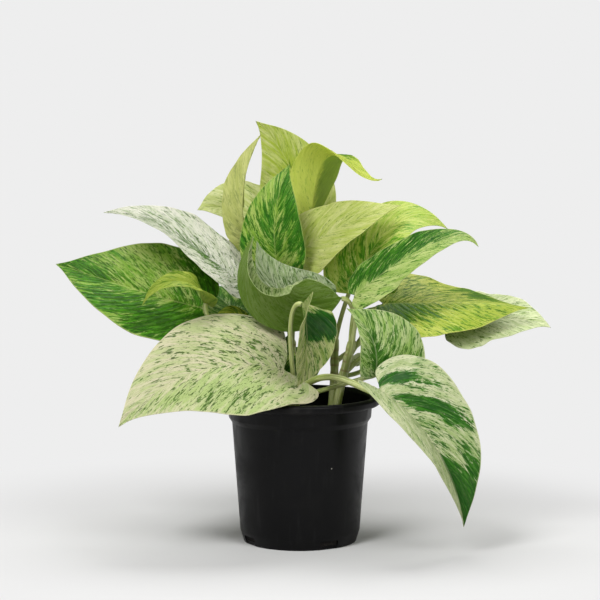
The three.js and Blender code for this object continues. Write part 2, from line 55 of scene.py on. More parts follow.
POT_HEIGHT = 100
POT_RIM_RADIUS = 55
POT_COLLAR_RADIUS = 49.3
POT_BODY_RADIUS = 46.4
POT_SHOULDER_RADIUS = 41
POT_FOOT_RADIUS = 38.6
POT_STEP_HEIGHT = 82
POT_SHOULDER_HEIGHT = 8
POT_WALL = 1.2
POT_FLOOR = 2
POT_FLOOR_INSET = 1.6  # the inside narrows this much more towards its floor
POT_ROUNDING = 0.6
POT_SEGMENTS = 256
POT_SHARP = 50  # degrees between faces from which an edge looks sharp
COLLAR_RISE = 3.5  # from the step up to the collar
COLLAR_SPREAD = 0.6  # how much the collar widens upwards
LIP_HEIGHT = 6
LIP_EDGE = 1.4  # the slanted edges of the rolled lip
LIP_INSIDE = [1, 2.2]  # its flat top past the collar, and the slope down inside

NOTCH_COUNT = 4
NOTCH_FIRST_ANGLE = math.radians(-60)
NOTCH_WIDTH = 14
NOTCH_HEIGHT = 6
NOTCH_DEPTH = 7
NOTCH_ROUNDING = 1.2

SOIL_TOP = 80
SOIL_BUMP = 1.6
SOIL_SEGMENTS = 120
SOIL_RINGS = 40
SOIL_CRUMBS = 900
SOIL_SEED = 7
LUMP_SCALE = 0.35
CRUMB_SIZES = [0.4, 1.1]
CRUMB_STRETCHES = [0.6, 1.5]
CRUMB_CHIPPING = [0.8, 1.2]

STEM_RADIUS = 3
STEM_FOOT = 62
STEM_RINGS = 90
STEM_SIDES = 24
TOP_NODE = 0.97  # share of the stem where its highest stalk can leave it
NODE_SWELL = [0.94, 0.14, 0.035]  # radius between nodes, what a node adds, and its length, as shares
SCAR = [0.75, 0.03, 0.008]  # how brown, how far from its node, and how broad

STALK_RADIUS = 1.6
STALK_LEAN = 0.65
STALK_REACH = 0.35  # how straight a stalk runs into its blade
STALK_RINGS = 70
STALK_SIDES = 20
STALK_GROOVE = [0.22, 0.45]  # depth as a share of its radius, and half its angle
STALK_SHEATH = [0.42, 0.16]  # how much wider it starts, and over what share of it
STALK_JOINT = [0.16, 0.96, 0.04]  # the swelling below the blade: size, place and length as shares

BLADE_THICKNESS = 0.5
BLADE_THINNING = 0.35  # how much thinner it is at the margin
BLADE_ROWS = 72
BLADE_CELLS = 16  # from the midrib to the margin
BLADE_SPREAD = 1.4  # how much narrower the cells are beside the midrib
BLADE_CURL = -0.006
WAVE_SIDE_SHIFT = 1.7
NOTCH_SHARE = 1 / 12  # where the margin starts, beside the stalk
FLUTTER = [0.4, 26, 43]  # the margin's small waves: their height, and how close two sets of them are
QUILTING = 0.22  # swell of the blade between its side veins
RIB_GROOVE = [0.22, 1.1]  # depth and half width
RIB_KEEL = [0.8, 0.15, 1.2]  # height at the stalk and at the tip, and half width
LEAF_SEED = 3
SIDE_VEIN_SPACING = 5.5
VEIN_SWEEP = 0.75  # how far side veins lean towards the tip

# Half of a flat leaf: forward as a share of its length, sideways as a share of its half width,
# and the place on the midrib where the vein that ends there starts.
LEAF_OUTLINE = [
    [0, 0, 0],
    [-0.1, 0.3, 0],
    [-0.04, 0.72, 0],
    [0.14, 0.98, 0.07],
    [0.36, 0.97, 0.2],
    [0.58, 0.74, 0.38],
    [0.78, 0.4, 0.6],
    [0.92, 0.12, 0.82],
    [1, 0, 1],
]

# Each cutting: the points that its stem passes through, from the soil up.
VINES = {
    "vine_front": [[-4, -14, 84], [-3, -16, 96], [0, -15, 106]],
    "vine_left": [[-22, -2, 84], [-24, -3, 104], [-27, -1, 122]],
    "vine_centre": [[-4, 14, 84], [-5, 18, 110], [-6, 22, 136]],
    "vine_top": [[-18, 24, 84], [-19, 26, 120], [-20, 28, 150]],
    "vine_right": [[24, -4, 84], [29, -3, 112], [36, -1, 138]],
    "vine_back": [[22, 26, 84], [24, 31, 112], [24, 36, 136]],
    "vine_back_left": [[-24, 30, 84], [-27, 33, 98], [-30, 36, 116]],
}


# A leaf's cutting, where its stalk leaves the stem, the point that the stalk bends towards, its look,
# its half width, its fold in degrees at the base and the tip, the height of its waves, the control
# points of its midrib, and the way its upper face looks at the base, the middle and the tip. Lobes
# and breadth are shares for its two halves.
FIELDS = "vine node bend look half_width fold wave midrib facing lobes breadth taper stalk"
Leaf = namedtuple("Leaf", FIELDS, defaults=[[1, 1], [1, 1], 1, STALK_RADIUS])

LEAVES = {
    "leaf_left_marbled": Leaf("vine_left", 0.6, [-46, 4, 128], "marbled", 38, [22, 14], 1.2,
        [[-68, 0, 160], [-100, -6, 168], [-136, -4, 181], [-167, 10, 189]],
        [[0.05, -0.82, 0.57], [0.05, -0.82, 0.57], [0.1, -0.8, 0.6]]),
    "leaf_front_cream": Leaf("vine_front", 0.5, [-4, -20, 112], "cream", 43, [12, 4], 1.5,
        [[-11, -28, 121], [-45, -42, 134], [-90, -58, 124], [-118, -70, 89]],
        [[-0.1, -0.62, 0.78], [-0.1, -0.78, 0.62], [-0.3, -0.7, 0.6]], lobes=[0.2, 1.9]),
    "leaf_left_silver": Leaf("vine_left", 1, [-20, 24, 152], "silver", 27, [5, 30], 1.2,
        [[-42, 5, 178], [-68, 0, 202], [-100, -12, 225], [-131, -20, 226]],
        [[0.2, -0.52, 0.82], [0.2, -0.5, 0.84], [0.1, -0.45, 0.89]], breadth=[1, 0.82]),
    "leaf_left_young": Leaf("vine_left", 0.8, [-50, -14, 138], "lime", 9, [30, 8], 0,
        [[-63, -14, 165], [-66, -38, 184], [-92, -46, 190], [-104, -44, 166]],
        [[0.2, -0.2, 0.9], [0, -0.7, 0.7], [-0.7, -0.6, 0.3]]),
    "leaf_left_low": Leaf("vine_left", 0.3, [-32, 4, 130], "lime", 12, [10, 10], 0.8,
        [[-42, 7, 144], [-47, 6, 154], [-53, 5, 154], [-57, 5, 146]],
        [[-0.1, -0.7, 0.7], [-0.1, -0.7, 0.7], [-0.4, -0.6, 0.5]], lobes=[0.8, 0.8]),
    "leaf_left_upright": Leaf("vine_top", 0.7, [-32, 34, 158], "lime", 14, [15, 15], 0.8,
        [[-42, 34, 176], [-46, 35, 186], [-49, 37, 196], [-47, 39, 206]],
        [[-0.2, -0.9, 0.3], [-0.3, -0.9, 0.1], [-0.3, -0.9, 0.1]]),
    "leaf_upper_left": Leaf("vine_top", 0.9, [-18, 44, 190], "lime", 29, [8, 8], 1,
        [[-20, 66, 210], [-34, 60, 223], [-54, 45, 229], [-71, 30, 225]],
        [[-0.1, -0.75, 0.65]] * 3, lobes=[0.5, 0.5]),
    "leaf_upper_narrow": Leaf("vine_top", 1, [-32, 36, 186], "lime", 14, [40, 40], 0.8,
        [[-38, 20, 209], [-43, 16, 232], [-39, 18, 256], [-27, 26, 277]],
        [[-0.75, 0.65, 0.1]] * 3),
    "leaf_top": Leaf("vine_top", 1, [-8, 40, 190], "lime", 27, [12, 12], 1.2,
        [[-1, 57, 214], [2, 64, 240], [-10, 63, 268], [-31, 51, 286]],
        [[-0.1, -0.9, 0.3], [-0.1, -0.9, 0.3], [-0.2, -0.9, 0.2]]),
    "leaf_centre_dark": Leaf("vine_centre", 0.8, [-10, 20, 172], "dark", 24, [18, 14], 1,
        [[-15, 12, 185], [-20, 1, 210], [-17, 4, 238], [-7, 12, 257]],
        [[-0.3, -0.85, 0.4], [-0.3, -0.9, 0.3], [-0.3, -0.9, 0.2]], lobes=[0.5, 0.5]),
    "leaf_top_arching": Leaf("vine_centre", 1, [-4, 30, 176], "lime", 19, [24, 10], 0.4,
        [[6.5, 37.6, 214], [15, 38.4, 307], [36, -4, 238], [55, -12, 248]],
        [[-0.8, 0.6, 0.1], [0.1, 0.3, 0.9], [0.3, -0.75, 0.6]], lobes=[0.2, 0.2]),
    "leaf_top_rear": Leaf("vine_back", 0.9, [10, 60, 165], "lime", 17, [12, 12], 1,
        [[7, 60, 190], [9, 66, 212], [12, 68, 230], [18, 64, 243]],
        [[0.1, -0.95, 0.2]] * 3),
    "leaf_centre_pale": Leaf("vine_centre", 1, [-4, 22, 172], "cream", 28, [8, 8], 1.2,
        [[-4, 22, 193], [18, 5, 213], [46, -6, 225], [68, -5, 230]],
        [[-0.25, -0.85, 0.45], [-0.25, -0.72, 0.65], [-0.2, -0.6, 0.75]],
        lobes=[1, 0.5], breadth=[0.88, 0.88]),
    "leaf_right_upper": Leaf("vine_right", 1, [38, 8, 156], "marbled", 31, [14, 8], 1.2,
        [[43, 12, 171], [43, 10, 200], [66, 12, 236], [101, 14, 213]],
        [[-0.3, -0.9, 0.3], [-0.4, -0.6, 0.7], [0.1, -0.5, 0.85]], lobes=[0.3, 0.3]),
    "leaf_right_folded": Leaf("vine_right", 0.95, [34, -10, 154], "dark", 20, [4, 10], 1,
        [[37, -15, 170], [62, -24, 192], [106, -32, 224], [118, -36, 204]],
        [[-0.25, -0.6, 0.75], [-0.25, -0.6, 0.75], [-0.1, -0.6, 0.75]], lobes=[0.4, 0.4]),
    "leaf_right_yellow": Leaf("vine_right", 0.8, [48, 0, 150], "lime", 34, [10, -30], 1.5,
        [[57, 8, 162], [88, -2, 164], [125, -14, 166], [153, -22, 162]],
        [[0, -0.55, 0.83], [0, -0.5, 0.86], [0, -0.5, 0.86]]),
    "leaf_right_low": Leaf("vine_right", 0.6, [72, 20, 156], "silver", 30, [8, 4], 1.5,
        [[105, 10, 149], [120, 6, 149], [150, -6, 158], [169, -14, 148]],
        [[0, -0.55, 0.83]] * 3, lobes=[0.5, 0.5]),
    "leaf_right_speckled": Leaf("vine_front", 0.8, [30, -30, 112], "silver", 33, [26, 22], 1,
        [[50, -28, 117], [54, -33, 136], [46, -36, 152], [31, -34, 163]],
        [[0.35, -0.88, 0.3], [0.35, -0.88, 0.3], [0.35, -0.8, 0.4]],
        taper=1.2, lobes=[1, 0.3], breadth=[1, 0.5]),
    "leaf_centre_cupped": Leaf("vine_right", 0.5, [42, -4, 150], "silver", 38, [70, 64], 0.5,
        [[27, -14, 168], [-2, -16, 119], [-67, -18, 160], [-31, -20, 210]],
        [[-0.8, -0.1, 0.5], [0.3, -0.22, 0.9], [0.7, -0.55, -0.5]],
        taper=0.9, lobes=[0.2, 0.2], breadth=[0.84, 1]),
    "leaf_right_drooping": Leaf("vine_front", 1, [20, -36, 132], "cream", 36, [38, 36], 1.2,
        [[53, -46, 110], [69, -58, 102], [102, -58, 70], [109, -46, 18]],
        [[0.54, -0.77, 0.4], [0.54, -0.77, 0.4], [0.54, -0.77, 0.2]], stalk=2.2, breadth=[0.8, 1]),
    "leaf_centre_hanging": Leaf("vine_front", 0.7, [-8, -34, 140], "dark", 22, [36, 30], 0.8,
        [[2, -45, 167], [4, -52, 155], [8, -50, 130], [-2, -45, 112]],
        [[0.97, -0.2, 0.1], [0.6, -0.75, 0.1], [0.5, -0.8, 0.1]], lobes=[0.1, 0.1]),
    "leaf_centre_shaded": Leaf("vine_front", 0.3, [-14, -4, 100], "dark", 11, [10, 10], 0.6,
        [[-12, -2, 112], [-13, -4, 122], [-11, -6, 132], [-8, -5, 142]],
        [[0.2, -0.95, 0.2]] * 3),
    "leaf_centre_grey": Leaf("vine_centre", 0.7, [18, 18, 140], "silver", 24, [8, 8], 0.5,
        [[20, 3, 156], [-2, -2, 160], [-27, -4, 174], [-29, -6, 206]],
        [[0.1, -0.95, -0.05], [0.12, -0.95, -0.05], [0.3, -0.9, 0.1]],
        lobes=[0.3, 0.3], breadth=[1, 0.5]),
    "leaf_back_left": Leaf("vine_back_left", 1, [-36, 40, 136], "marbled", 34, [8, 6], 1.2,
        [[-44, 42, 150], [-60, 62, 168], [-82, 86, 176], [-98, 104, 162]],
        [[-0.3, 0.3, 0.9], [-0.3, 0.5, 0.8], [-0.4, 0.7, 0.5]]),
    "leaf_back_low_left": Leaf("vine_back_left", 0.7, [-40, 38, 108], "cream", 26, [8, 6], 1.2,
        [[-46, 42, 120], [-62, 56, 130], [-82, 72, 122], [-94, 84, 98]],
        [[-0.3, 0.4, 0.8], [-0.4, 0.6, 0.6], [-0.5, 0.7, 0.3]]),
    "leaf_back_low": Leaf("vine_back_left", 0.85, [-14, 46, 112], "marbled", 32, [8, 6], 1.2,
        [[-8, 52, 122], [-8, 74, 132], [-12, 104, 108], [-12, 116, 60]],
        [[0, 0.4, 0.9], [-0.1, 0.8, 0.5], [0, 1, 0.1]]),
    "leaf_back_upper_left": Leaf("vine_top", 0.85, [-24, 46, 176], "marbled", 24, [10, 6], 1.2,
        [[-21, 70, 188], [-22, 86, 203], [-27, 104, 203], [-31, 120, 182]],
        [[-0.1, 0.3, 0.9], [-0.1, 0.5, 0.8], [-0.1, 0.8, 0.5]]),
    "leaf_back_upper": Leaf("vine_back", 1, [6, 58, 190], "dark", 30, [10, 6], 1.2,
        [[4, 74, 208], [2, 92, 222], [6, 112, 222], [10, 126, 204]],
        [[0, 0.2, 0.9], [0, 0.5, 0.8], [0.1, 0.8, 0.5]]),
    "leaf_back_upper_right": Leaf("vine_back", 0.95, [32, 46, 166], "marbled", 32, [10, 6], 1.2,
        [[38, 50, 182], [50, 66, 200], [64, 92, 202], [72, 110, 184]],
        [[0.1, 0.3, 0.9], [0.3, 0.5, 0.8], [0.3, 0.8, 0.4]]),
    "leaf_back_right": Leaf("vine_back", 0.7, [46, 38, 134], "lime", 32, [8, 6], 1.2,
        [[54, 46, 146], [74, 62, 160], [98, 82, 162], [112, 96, 146]],
        [[0.3, 0.3, 0.9], [0.4, 0.5, 0.8], [0.5, 0.7, 0.4]]),
    "leaf_back_low_right": Leaf("vine_back", 0.5, [42, 40, 108], "cream", 21, [8, 6], 1,
        [[48, 46, 118], [58, 58, 128], [74, 72, 120], [84, 80, 100]],
        [[0.3, 0.5, 0.8], [0.4, 0.6, 0.6], [0.5, 0.7, 0.3]]),
}


def hues(colours, amounts, **more):
    """A leaf's pale, misty, green and dark colours, and how much of it is green, speckled and misty."""
    return {"colours": colours, "amounts": amounts, **more}


# Each look, with how much light comes through the leaf.
LOOKS = {
    "marbled": hues("#bfcd86 #8fb052 #578f26 #255d10", [0.6, 0.35, 0.5], glow=0.26),
    "cream": hues("#e4e6c2 #c3d097 #5f8a30 #335f16", [0.2, 0.4, 0.4], glow=0.24),
    "silver": hues("#d9ddc8 #a6b986 #55832f #2b5818", [0.3, 0.45, 0.5], glow=0.24),
    "lime": hues("#c5d06c #a3b843 #6d9524 #3e6e12", [0.38, 0.35, 0.5], glow=0.34),
    "dark": hues("#b3c26e #76a03a #35701a #15430b", [0.68, 0.35, 0.5], glow=0.2),
}

# What they share: the underside's colour and how much of the pattern it covers, and how far blotches
# lean towards the tip.
PLAIN = {"under": ["#7f9a4a", 0.45], "lean": 0, "blotches": []}

# What sets a leaf's colouring apart, with its blotches: forward and sideways place on the leaf (as
# shares, the sideways one from -1 to 1), its two sizes, and what it adds to green, specks and mist.
PAINT = {
    "leaf_left_marbled": hues(
        "#b3c070 #7ea438 #468810 #1a4a02", [0.52, 0.6, 0.6], streaks=[2.6, 1.8],
        blotches=[[0.1, 0.7, 0.25, 0.5, 0.1, 0, 0], [0.8, 0, 0.3, 1, 0.05, 0, 0.2],
                  [0.45, -0.5, 0.3, 0.4, -0.09, 0.3, 0], [0.3, 0.7, 0.3, 0.4, 0.03, 0, 0],
                  [0.05, -0.8, 0.2, 0.5, 0.09, 0, 0]]),
    "leaf_front_cream": hues(
        "#d3ccac #aec07c #44701e #284414", [0.1, 0.5, 0.3], grain=[4.0, 3.4],
        blotches=[[0.45, 0.65, 0.5, 0.5, 0.11, 0.1, 0.8], [0.3, -0.3, 0.35, 0.5, -0.08, 0.2, -0.2],
                  [0.2, -0.2, 0.25, 0.5, 0, 0.1, 0.3], [0.95, 0.2, 0.16, 0.6, 0.04, 0.1, 0.2]]),
    "leaf_left_silver": hues(
        "#e0ded2 #b4c09a #55802c #264a1a", [0.16, 0.6, 0.15], grain=[6.0, 3.2],
        blotches=[[0.35, 0.2, 0.25, 0.3, 0.14, 0.2, 0.3], [0.75, 0.1, 0.3, 0.8, 0, 0.4, 0]]),
    "leaf_left_young": hues("#bcc65e #98ac3c #6f9424 #44701a", [0.4, 0.6, 0.6]),
    "leaf_left_low": hues("#b4be3c #8ca024 #557c14 #2a5606", [0.45, 0.9, 0.6]),
    "leaf_left_upright": hues("#c3c97c #a0ae4c #70902a #446c14", [0.3, 0.3, 0.6]),
    "leaf_upper_left": hues("#d6d9a0 #b6c26c #7d9c34 #4a7418", [0.2, 0.35, 0.5]),
    "leaf_upper_narrow": hues(
        "#cfd288 #a6b054 #748a2e #44621c", [0.34, 0.6, 0.6],
        under=["#c8cb84", 0.4], glow=0.24),
    "leaf_top": hues(
        "#e4e6a6 #bccd52 #8ca83c #608824", [0.18, 0.4, 0.5], glow=0.44,
        blotches=[[0.45, 0, 0.35, 0.45, 0.1, 0, 0.7]]),
    "leaf_centre_dark": hues(
        "#b6c66e #82a83a #458420 #1a580a", [0.52, 0.55, 0.6],
        blotches=[[0.5, 0.25, 0.4, 0.3, 0.02, 0, 0], [0.6, -0.7, 0.5, 0.4, 0.05, 0.3, 0.1],
                  [0.5, 0.8, 0.5, 0.2, -0.05, 0, 0], [0.02, -0.2, 0.1, 0.6, -0.1, 0, 0.2]]),
    "leaf_top_arching": hues(
        "#dce274 #bccb44 #7ca626 #588a16", [0.28, 0.4, 0.4], glow=0.46,
        under=["#dde87e", 0.4],
        blotches=[[0.3, 0.6, 0.35, 0.5, 0.26, 0, 0.6], [0.3, -0.6, 0.4, 0.6, -0.2, 0, -0.4]]),
    "leaf_top_rear": hues("#dde2b4 #c3cd88 #96ac50 #6c8c34", [0.1, 0.2, 0.3]),
    "leaf_centre_pale": hues(
        "#dcde98 #bac862 #84a030 #527a1e", [0.12, 0.3, 0.5], glow=0.36,
        blotches=[[0.1, 0, 0.2, 0.8, 0.08, 0, 0.3], [0.6, 0, 0.25, 0.7, 0.04, 0.35, 0.1]]),
    "leaf_right_upper": hues(
        "#d2da7c #a9c44c #6aaa24 #3b841a", [0.42, 0.45, 0.5], glow=0.34,
        blotches=[[0.15, -0.3, 0.2, 0.6, 0.08, 0, 0], [0.7, 0.3, 0.3, 0.6, -0.1, 0, 0]]),
    "leaf_right_folded": hues(
        "#c4ce88 #93b058 #3f7c1c #1a5012", [0.48, 0.55, 0.6],
        blotches=[[0.3, 0.4, 0.45, 0.6, 0.08, 0, 0.2], [0.5, -0.6, 0.6, 0.5, -0.14, 0.1, 0.1],
                  [0.95, 0.2, 0.2, 0.8, -0.06, 0, 0.3]]),
    "leaf_right_yellow": hues(
        "#ced26c #a3b340 #6a961e #2f640c", [0.42, 0.65, 0.5], glow=0.2,
        blotches=[[0.15, -0.25, 0.22, 0.3, 0.13, 0, 0], [0.2, 0.5, 0.3, 0.5, -0.06, 0.3, -0.1],
                  [0.65, 0.8, 0.2, 0.35, 0.12, 0, 0.1], [0.7, -0.5, 0.35, 0.6, 0, 0.1, 0.8],
                  [0.9, 0, 0.25, 1, -0.04, 0, 0.2]]),
    "leaf_right_low": hues("#dde2b8 #b6c68a #678834 #37621c", [0.2, 0.5, 0.5]),
    "leaf_right_speckled": hues(
        "#cad49e #96b65e #4b8226 #1f560f", [0.34, 0.8, 0.6],
        blotches=[[0.35, 0, 0.3, 0.35, 0.1, 0, 0]]),
    "leaf_centre_cupped": hues(
        "#ccd5a0 #98b068 #557d2c #2a5412", [0.25, 0.7, 0.6],
        # The underside's own duller green is darkened to deep olive here, as painted shade where the
        # cup's underside lies in shadow.
        under=["#5a7a20", 0.8],
        blotches=[[0.15, 0, 0.3, 1, 0.1, 0, 0.2]]),
    "leaf_right_drooping": hues(
        "#d6d8b2 #a4b878 #3b7c1e #185210", [0.22, 0.5, 0.4], lean=0.38,
        blotches=[[-0.12, 0.36, 0.075, 0.4, 0.27, 0, 0], [0.11, 0.45, 0.07, 0.48, 0.27, 0, 0],
                  [0.75, 0.3, 0.27, 0.5, 0.3, 0, 0.4], [0.55, 0.9, 0.25, 0.35, 0.22, 0, 0.3],
                  [0.3, 0.3, 0.1, 0.8, 0.05, 0.2, 0.2]]),
    "leaf_centre_hanging": hues(
        "#bcba86 #76903c #246210 #0a4002", [0.34, 0.6, 0.5],
        blotches=[[0.28, 0.35, 0.14, 0.9, 0.34, 0, 0], [0.75, 0, 0.25, 0.9, -0.16, 0.1, 0],
                  [0.1, -0.8, 0.25, 0.4, -0.3, 0.1, -0.3]]),
    "leaf_centre_grey": hues("#ccd4b4 #93aa72 #4f762c #275014", [0.2, 0.7, 0.6]),
}


# Each noise in a leaf: how fine it is across and along the side veins, its layer, detail, roughness
# and distortion. A leaf's own entry above can set the fineness of its streaks and grain.
LEAF_NOISES = {
    "patches": [0.8, 0.42, 1, 5, 0.66, 1.3],
    "streaks": [3.6, 1.3, 2, 5, 0.7, 0.8],
    "frays": [15.0, 3.2, 12, 3, 0.62, 0.4],
    "depth": [5.0, 1.2, 3, 5, 0.68, 0.4],
    "clusters": [0.9, 0.5, 4, 3, 0.6, 0.3],
    "grain": [7.0, 3.2, 5, 3, 0.6, 0.5],
    "fine_grain": [16.0, 6.0, 6, 2, 0.5, 0.2],
    "cloud": [1.7, 0.7, 7, 6, 0.65, 0.3],
    "fibres": [14.0, 2.0, 8, 4, 0.62, 0.3],
    "ink": [6.0, 2.0, 11, 2, 0.6, 0.3],
    "relief": [7.0, 3.0, 9, 4, 0.6, 0.3],
    "wax": [5.0, 3.0, 10, 3, 0.6, 0.3],
}
LAYER_GAPS = [3.7, 1.3, 11.3]  # what a leaf's number and a noise's layer shift the noise by
STREAKS = [0.42, 0.34, 0.24]  # how much patches, streaks and frays shape the green
GREEN_EDGE = [0.5, 0.34]  # the tone where green starts on a half green leaf, and what its amount moves
DARK_EDGE = [0.40, 0.6, 0.05]  # the depth where dark green starts, what green's edge adds, and softness
SPECK_EDGE = [0.70, -0.2]  # the grain where specks start, and what more specks add
LINE_SHARES = [0.10, 0.34, 0.55]  # how pale side veins, the midrib and the margin are
LEAF_GLOSS = 0.15
LEAF_BUMP = [0.0004, 0.5]  # in metres, and strength
LIGHT_THROUGH = [0.62, 0.70, 0.10, 1]

POT_COLOUR = "#060607"
POT_GLOSS = 0.14
DUST_COLOUR = [0.30, 0.28, 0.25, 1]
SCUFF_COLOUR = [0.25, 0.25, 0.25, 1]
GRIT_COLOUR = [0.5, 0.48, 0.43, 1]
SOIL_COLOURS = "#131211 #2a2622"
STALK_COLOURS = "#b4be74 #d3d8a4 #84953f #8a7347"
STALK_GLOW = 0.15

FLOOR_RADIUS = 6
FLOOR_FADE = [0.13, 0.36]  # metres from the pot, where the floor's own shading fades out
FLOOR_LEVEL = 0.58
BACKDROP_LEVEL = 0.855

CAMERA_PLACE = [0, -1.400, 0.300]
CAMERA_TILT = math.radians(84.5)
CAMERA_LENS = 124.08
CAMERA_SENSOR = 36

# Each light: place and aim in metres, its width in metres, and its power in watts.
LIGHTS = {
    "light_key": [[-0.6, -0.95, 1.25], [0, 0, 0.12], 0.6, 17.5],
    "light_fill": [[0.7, -1.05, 1.05], [0, 0, 0.12], 0.9, 12],
    "light_back": [[0.1, 0.45, 1.4], [0, 0, 0.18], 0.9, 13],
}
WORLD_COLOUR = [1.0, 0.98, 0.945, 1]
WORLD_LEVEL = 0.28
WORLD_GLOSS = 0.10

# ---------------- node materials


def linear(colours):
    """Colours written as #rrggbb, with spaces between them, as Blender's linear RGBA."""
    made = []
    for text in colours.split():
        parts = [int(text[i:i + 2], 16) / 255 for i in (1, 3, 5)]
        made.append([c / 12.92 if c <= 0.04045 else ((c + 0.055) / 1.055) ** 2.4 for c in parts] + [1])
    return made


def grey(level):
    return [level, level, level, 1]


class Shading:
    """The nodes of a material or world, made by nested calls. Every input is a number or a socket."""

    def __init__(self, owner):
        self.owner = owner
        owner.use_nodes = True
        self.tree = owner.node_tree
        self.tree.nodes.clear()

    def node(self, kind, inputs, **settings):
        made = self.tree.nodes.new("ShaderNode" + kind)
        for key, value in settings.items():
            setattr(made, key, value)
        for key, value in inputs.items():
            if isinstance(value, bpy.types.NodeSocket):
                self.tree.links.new(value, made.inputs[key])
            else:
                made.inputs[key].default_value = value
        return made

    def math(self, operation, a, b=0.0, c=0.0, clamp=False):
        return self.node("Math", {0: a, 1: b, 2: c}, operation=operation, use_clamp=clamp).outputs[0]

    def add(self, a, b):
        return self.math("ADD", a, b)

    def times(self, a, b):
        return self.math("MULTIPLY", a, b)

    def scaled(self, a, factor, shift):
        return self.math("MULTIPLY_ADD", a, factor, shift)

    def size(self, a):
        return self.math("ABSOLUTE", a)

    def step(self, value, low, high, start=0.0, end=1.0):
        """A smooth step of the value from low to high."""
        inputs = {"Value": value, "From Min": low, "From Max": high, "To Min": start, "To Max": end}
        return self.node("MapRange", inputs, interpolation_type="SMOOTHSTEP").outputs["Result"]

    def mix(self, factor, a, b):
        """Colour a, turning into colour b as the factor goes from 0 to 1."""
        return self.node("Mix", {0: factor, 6: a, 7: b}, data_type="RGBA").outputs[2]

    def place(self, source, scale, shift=(0, 0, 0)):
        inputs = {0: source, 1: scale, 2: shift}
        return self.node("VectorMath", inputs, operation="MULTIPLY_ADD").outputs[0]

    def noise(self, vector, scale=1.0, detail=2.0, roughness=0.5, distortion=0.0):
        inputs = {"Vector": vector, "Scale": scale, "Detail": detail}
        inputs.update({"Roughness": roughness, "Distortion": distortion})
        return self.node("TexNoise", inputs).outputs["Fac"]

    def parts(self, vector):
        return self.node("SeparateXYZ", {0: vector}).outputs

    def attribute(self, name):
        return self.node("Attribute", {}, attribute_name=name).outputs["Vector"]

    def pattern(self, name):
        """The places that a mesh keeps under this name, as a vector."""
        return self.node("UVMap", {}, uv_map=name).outputs[0]

    def spot(self):
        """The place on the object, in metres."""
        return self.node("TexCoord", {}).outputs["Object"]

    def bump(self, height, distance, strength):
        inputs = {"Height": height, "Distance": distance, "Strength": strength}
        return self.node("Bump", inputs).outputs[0]

    def skin(self, colour, rough, gloss, normal):
        inputs = {"Base Color": colour, "Roughness": rough, "Specular IOR Level": gloss, "Normal": normal}
        return self.node("BsdfPrincipled", inputs).outputs[0]

    def blend(self, share, first, second):
        return self.node("MixShader", {0: share, 1: first, 2: second}).outputs[0]

    def finish(self, surface, output="OutputMaterial"):
        self.node(output, {"Surface": surface})
        return self.owner


def new_material(name):
    return Shading(bpy.data.materials.new(name))


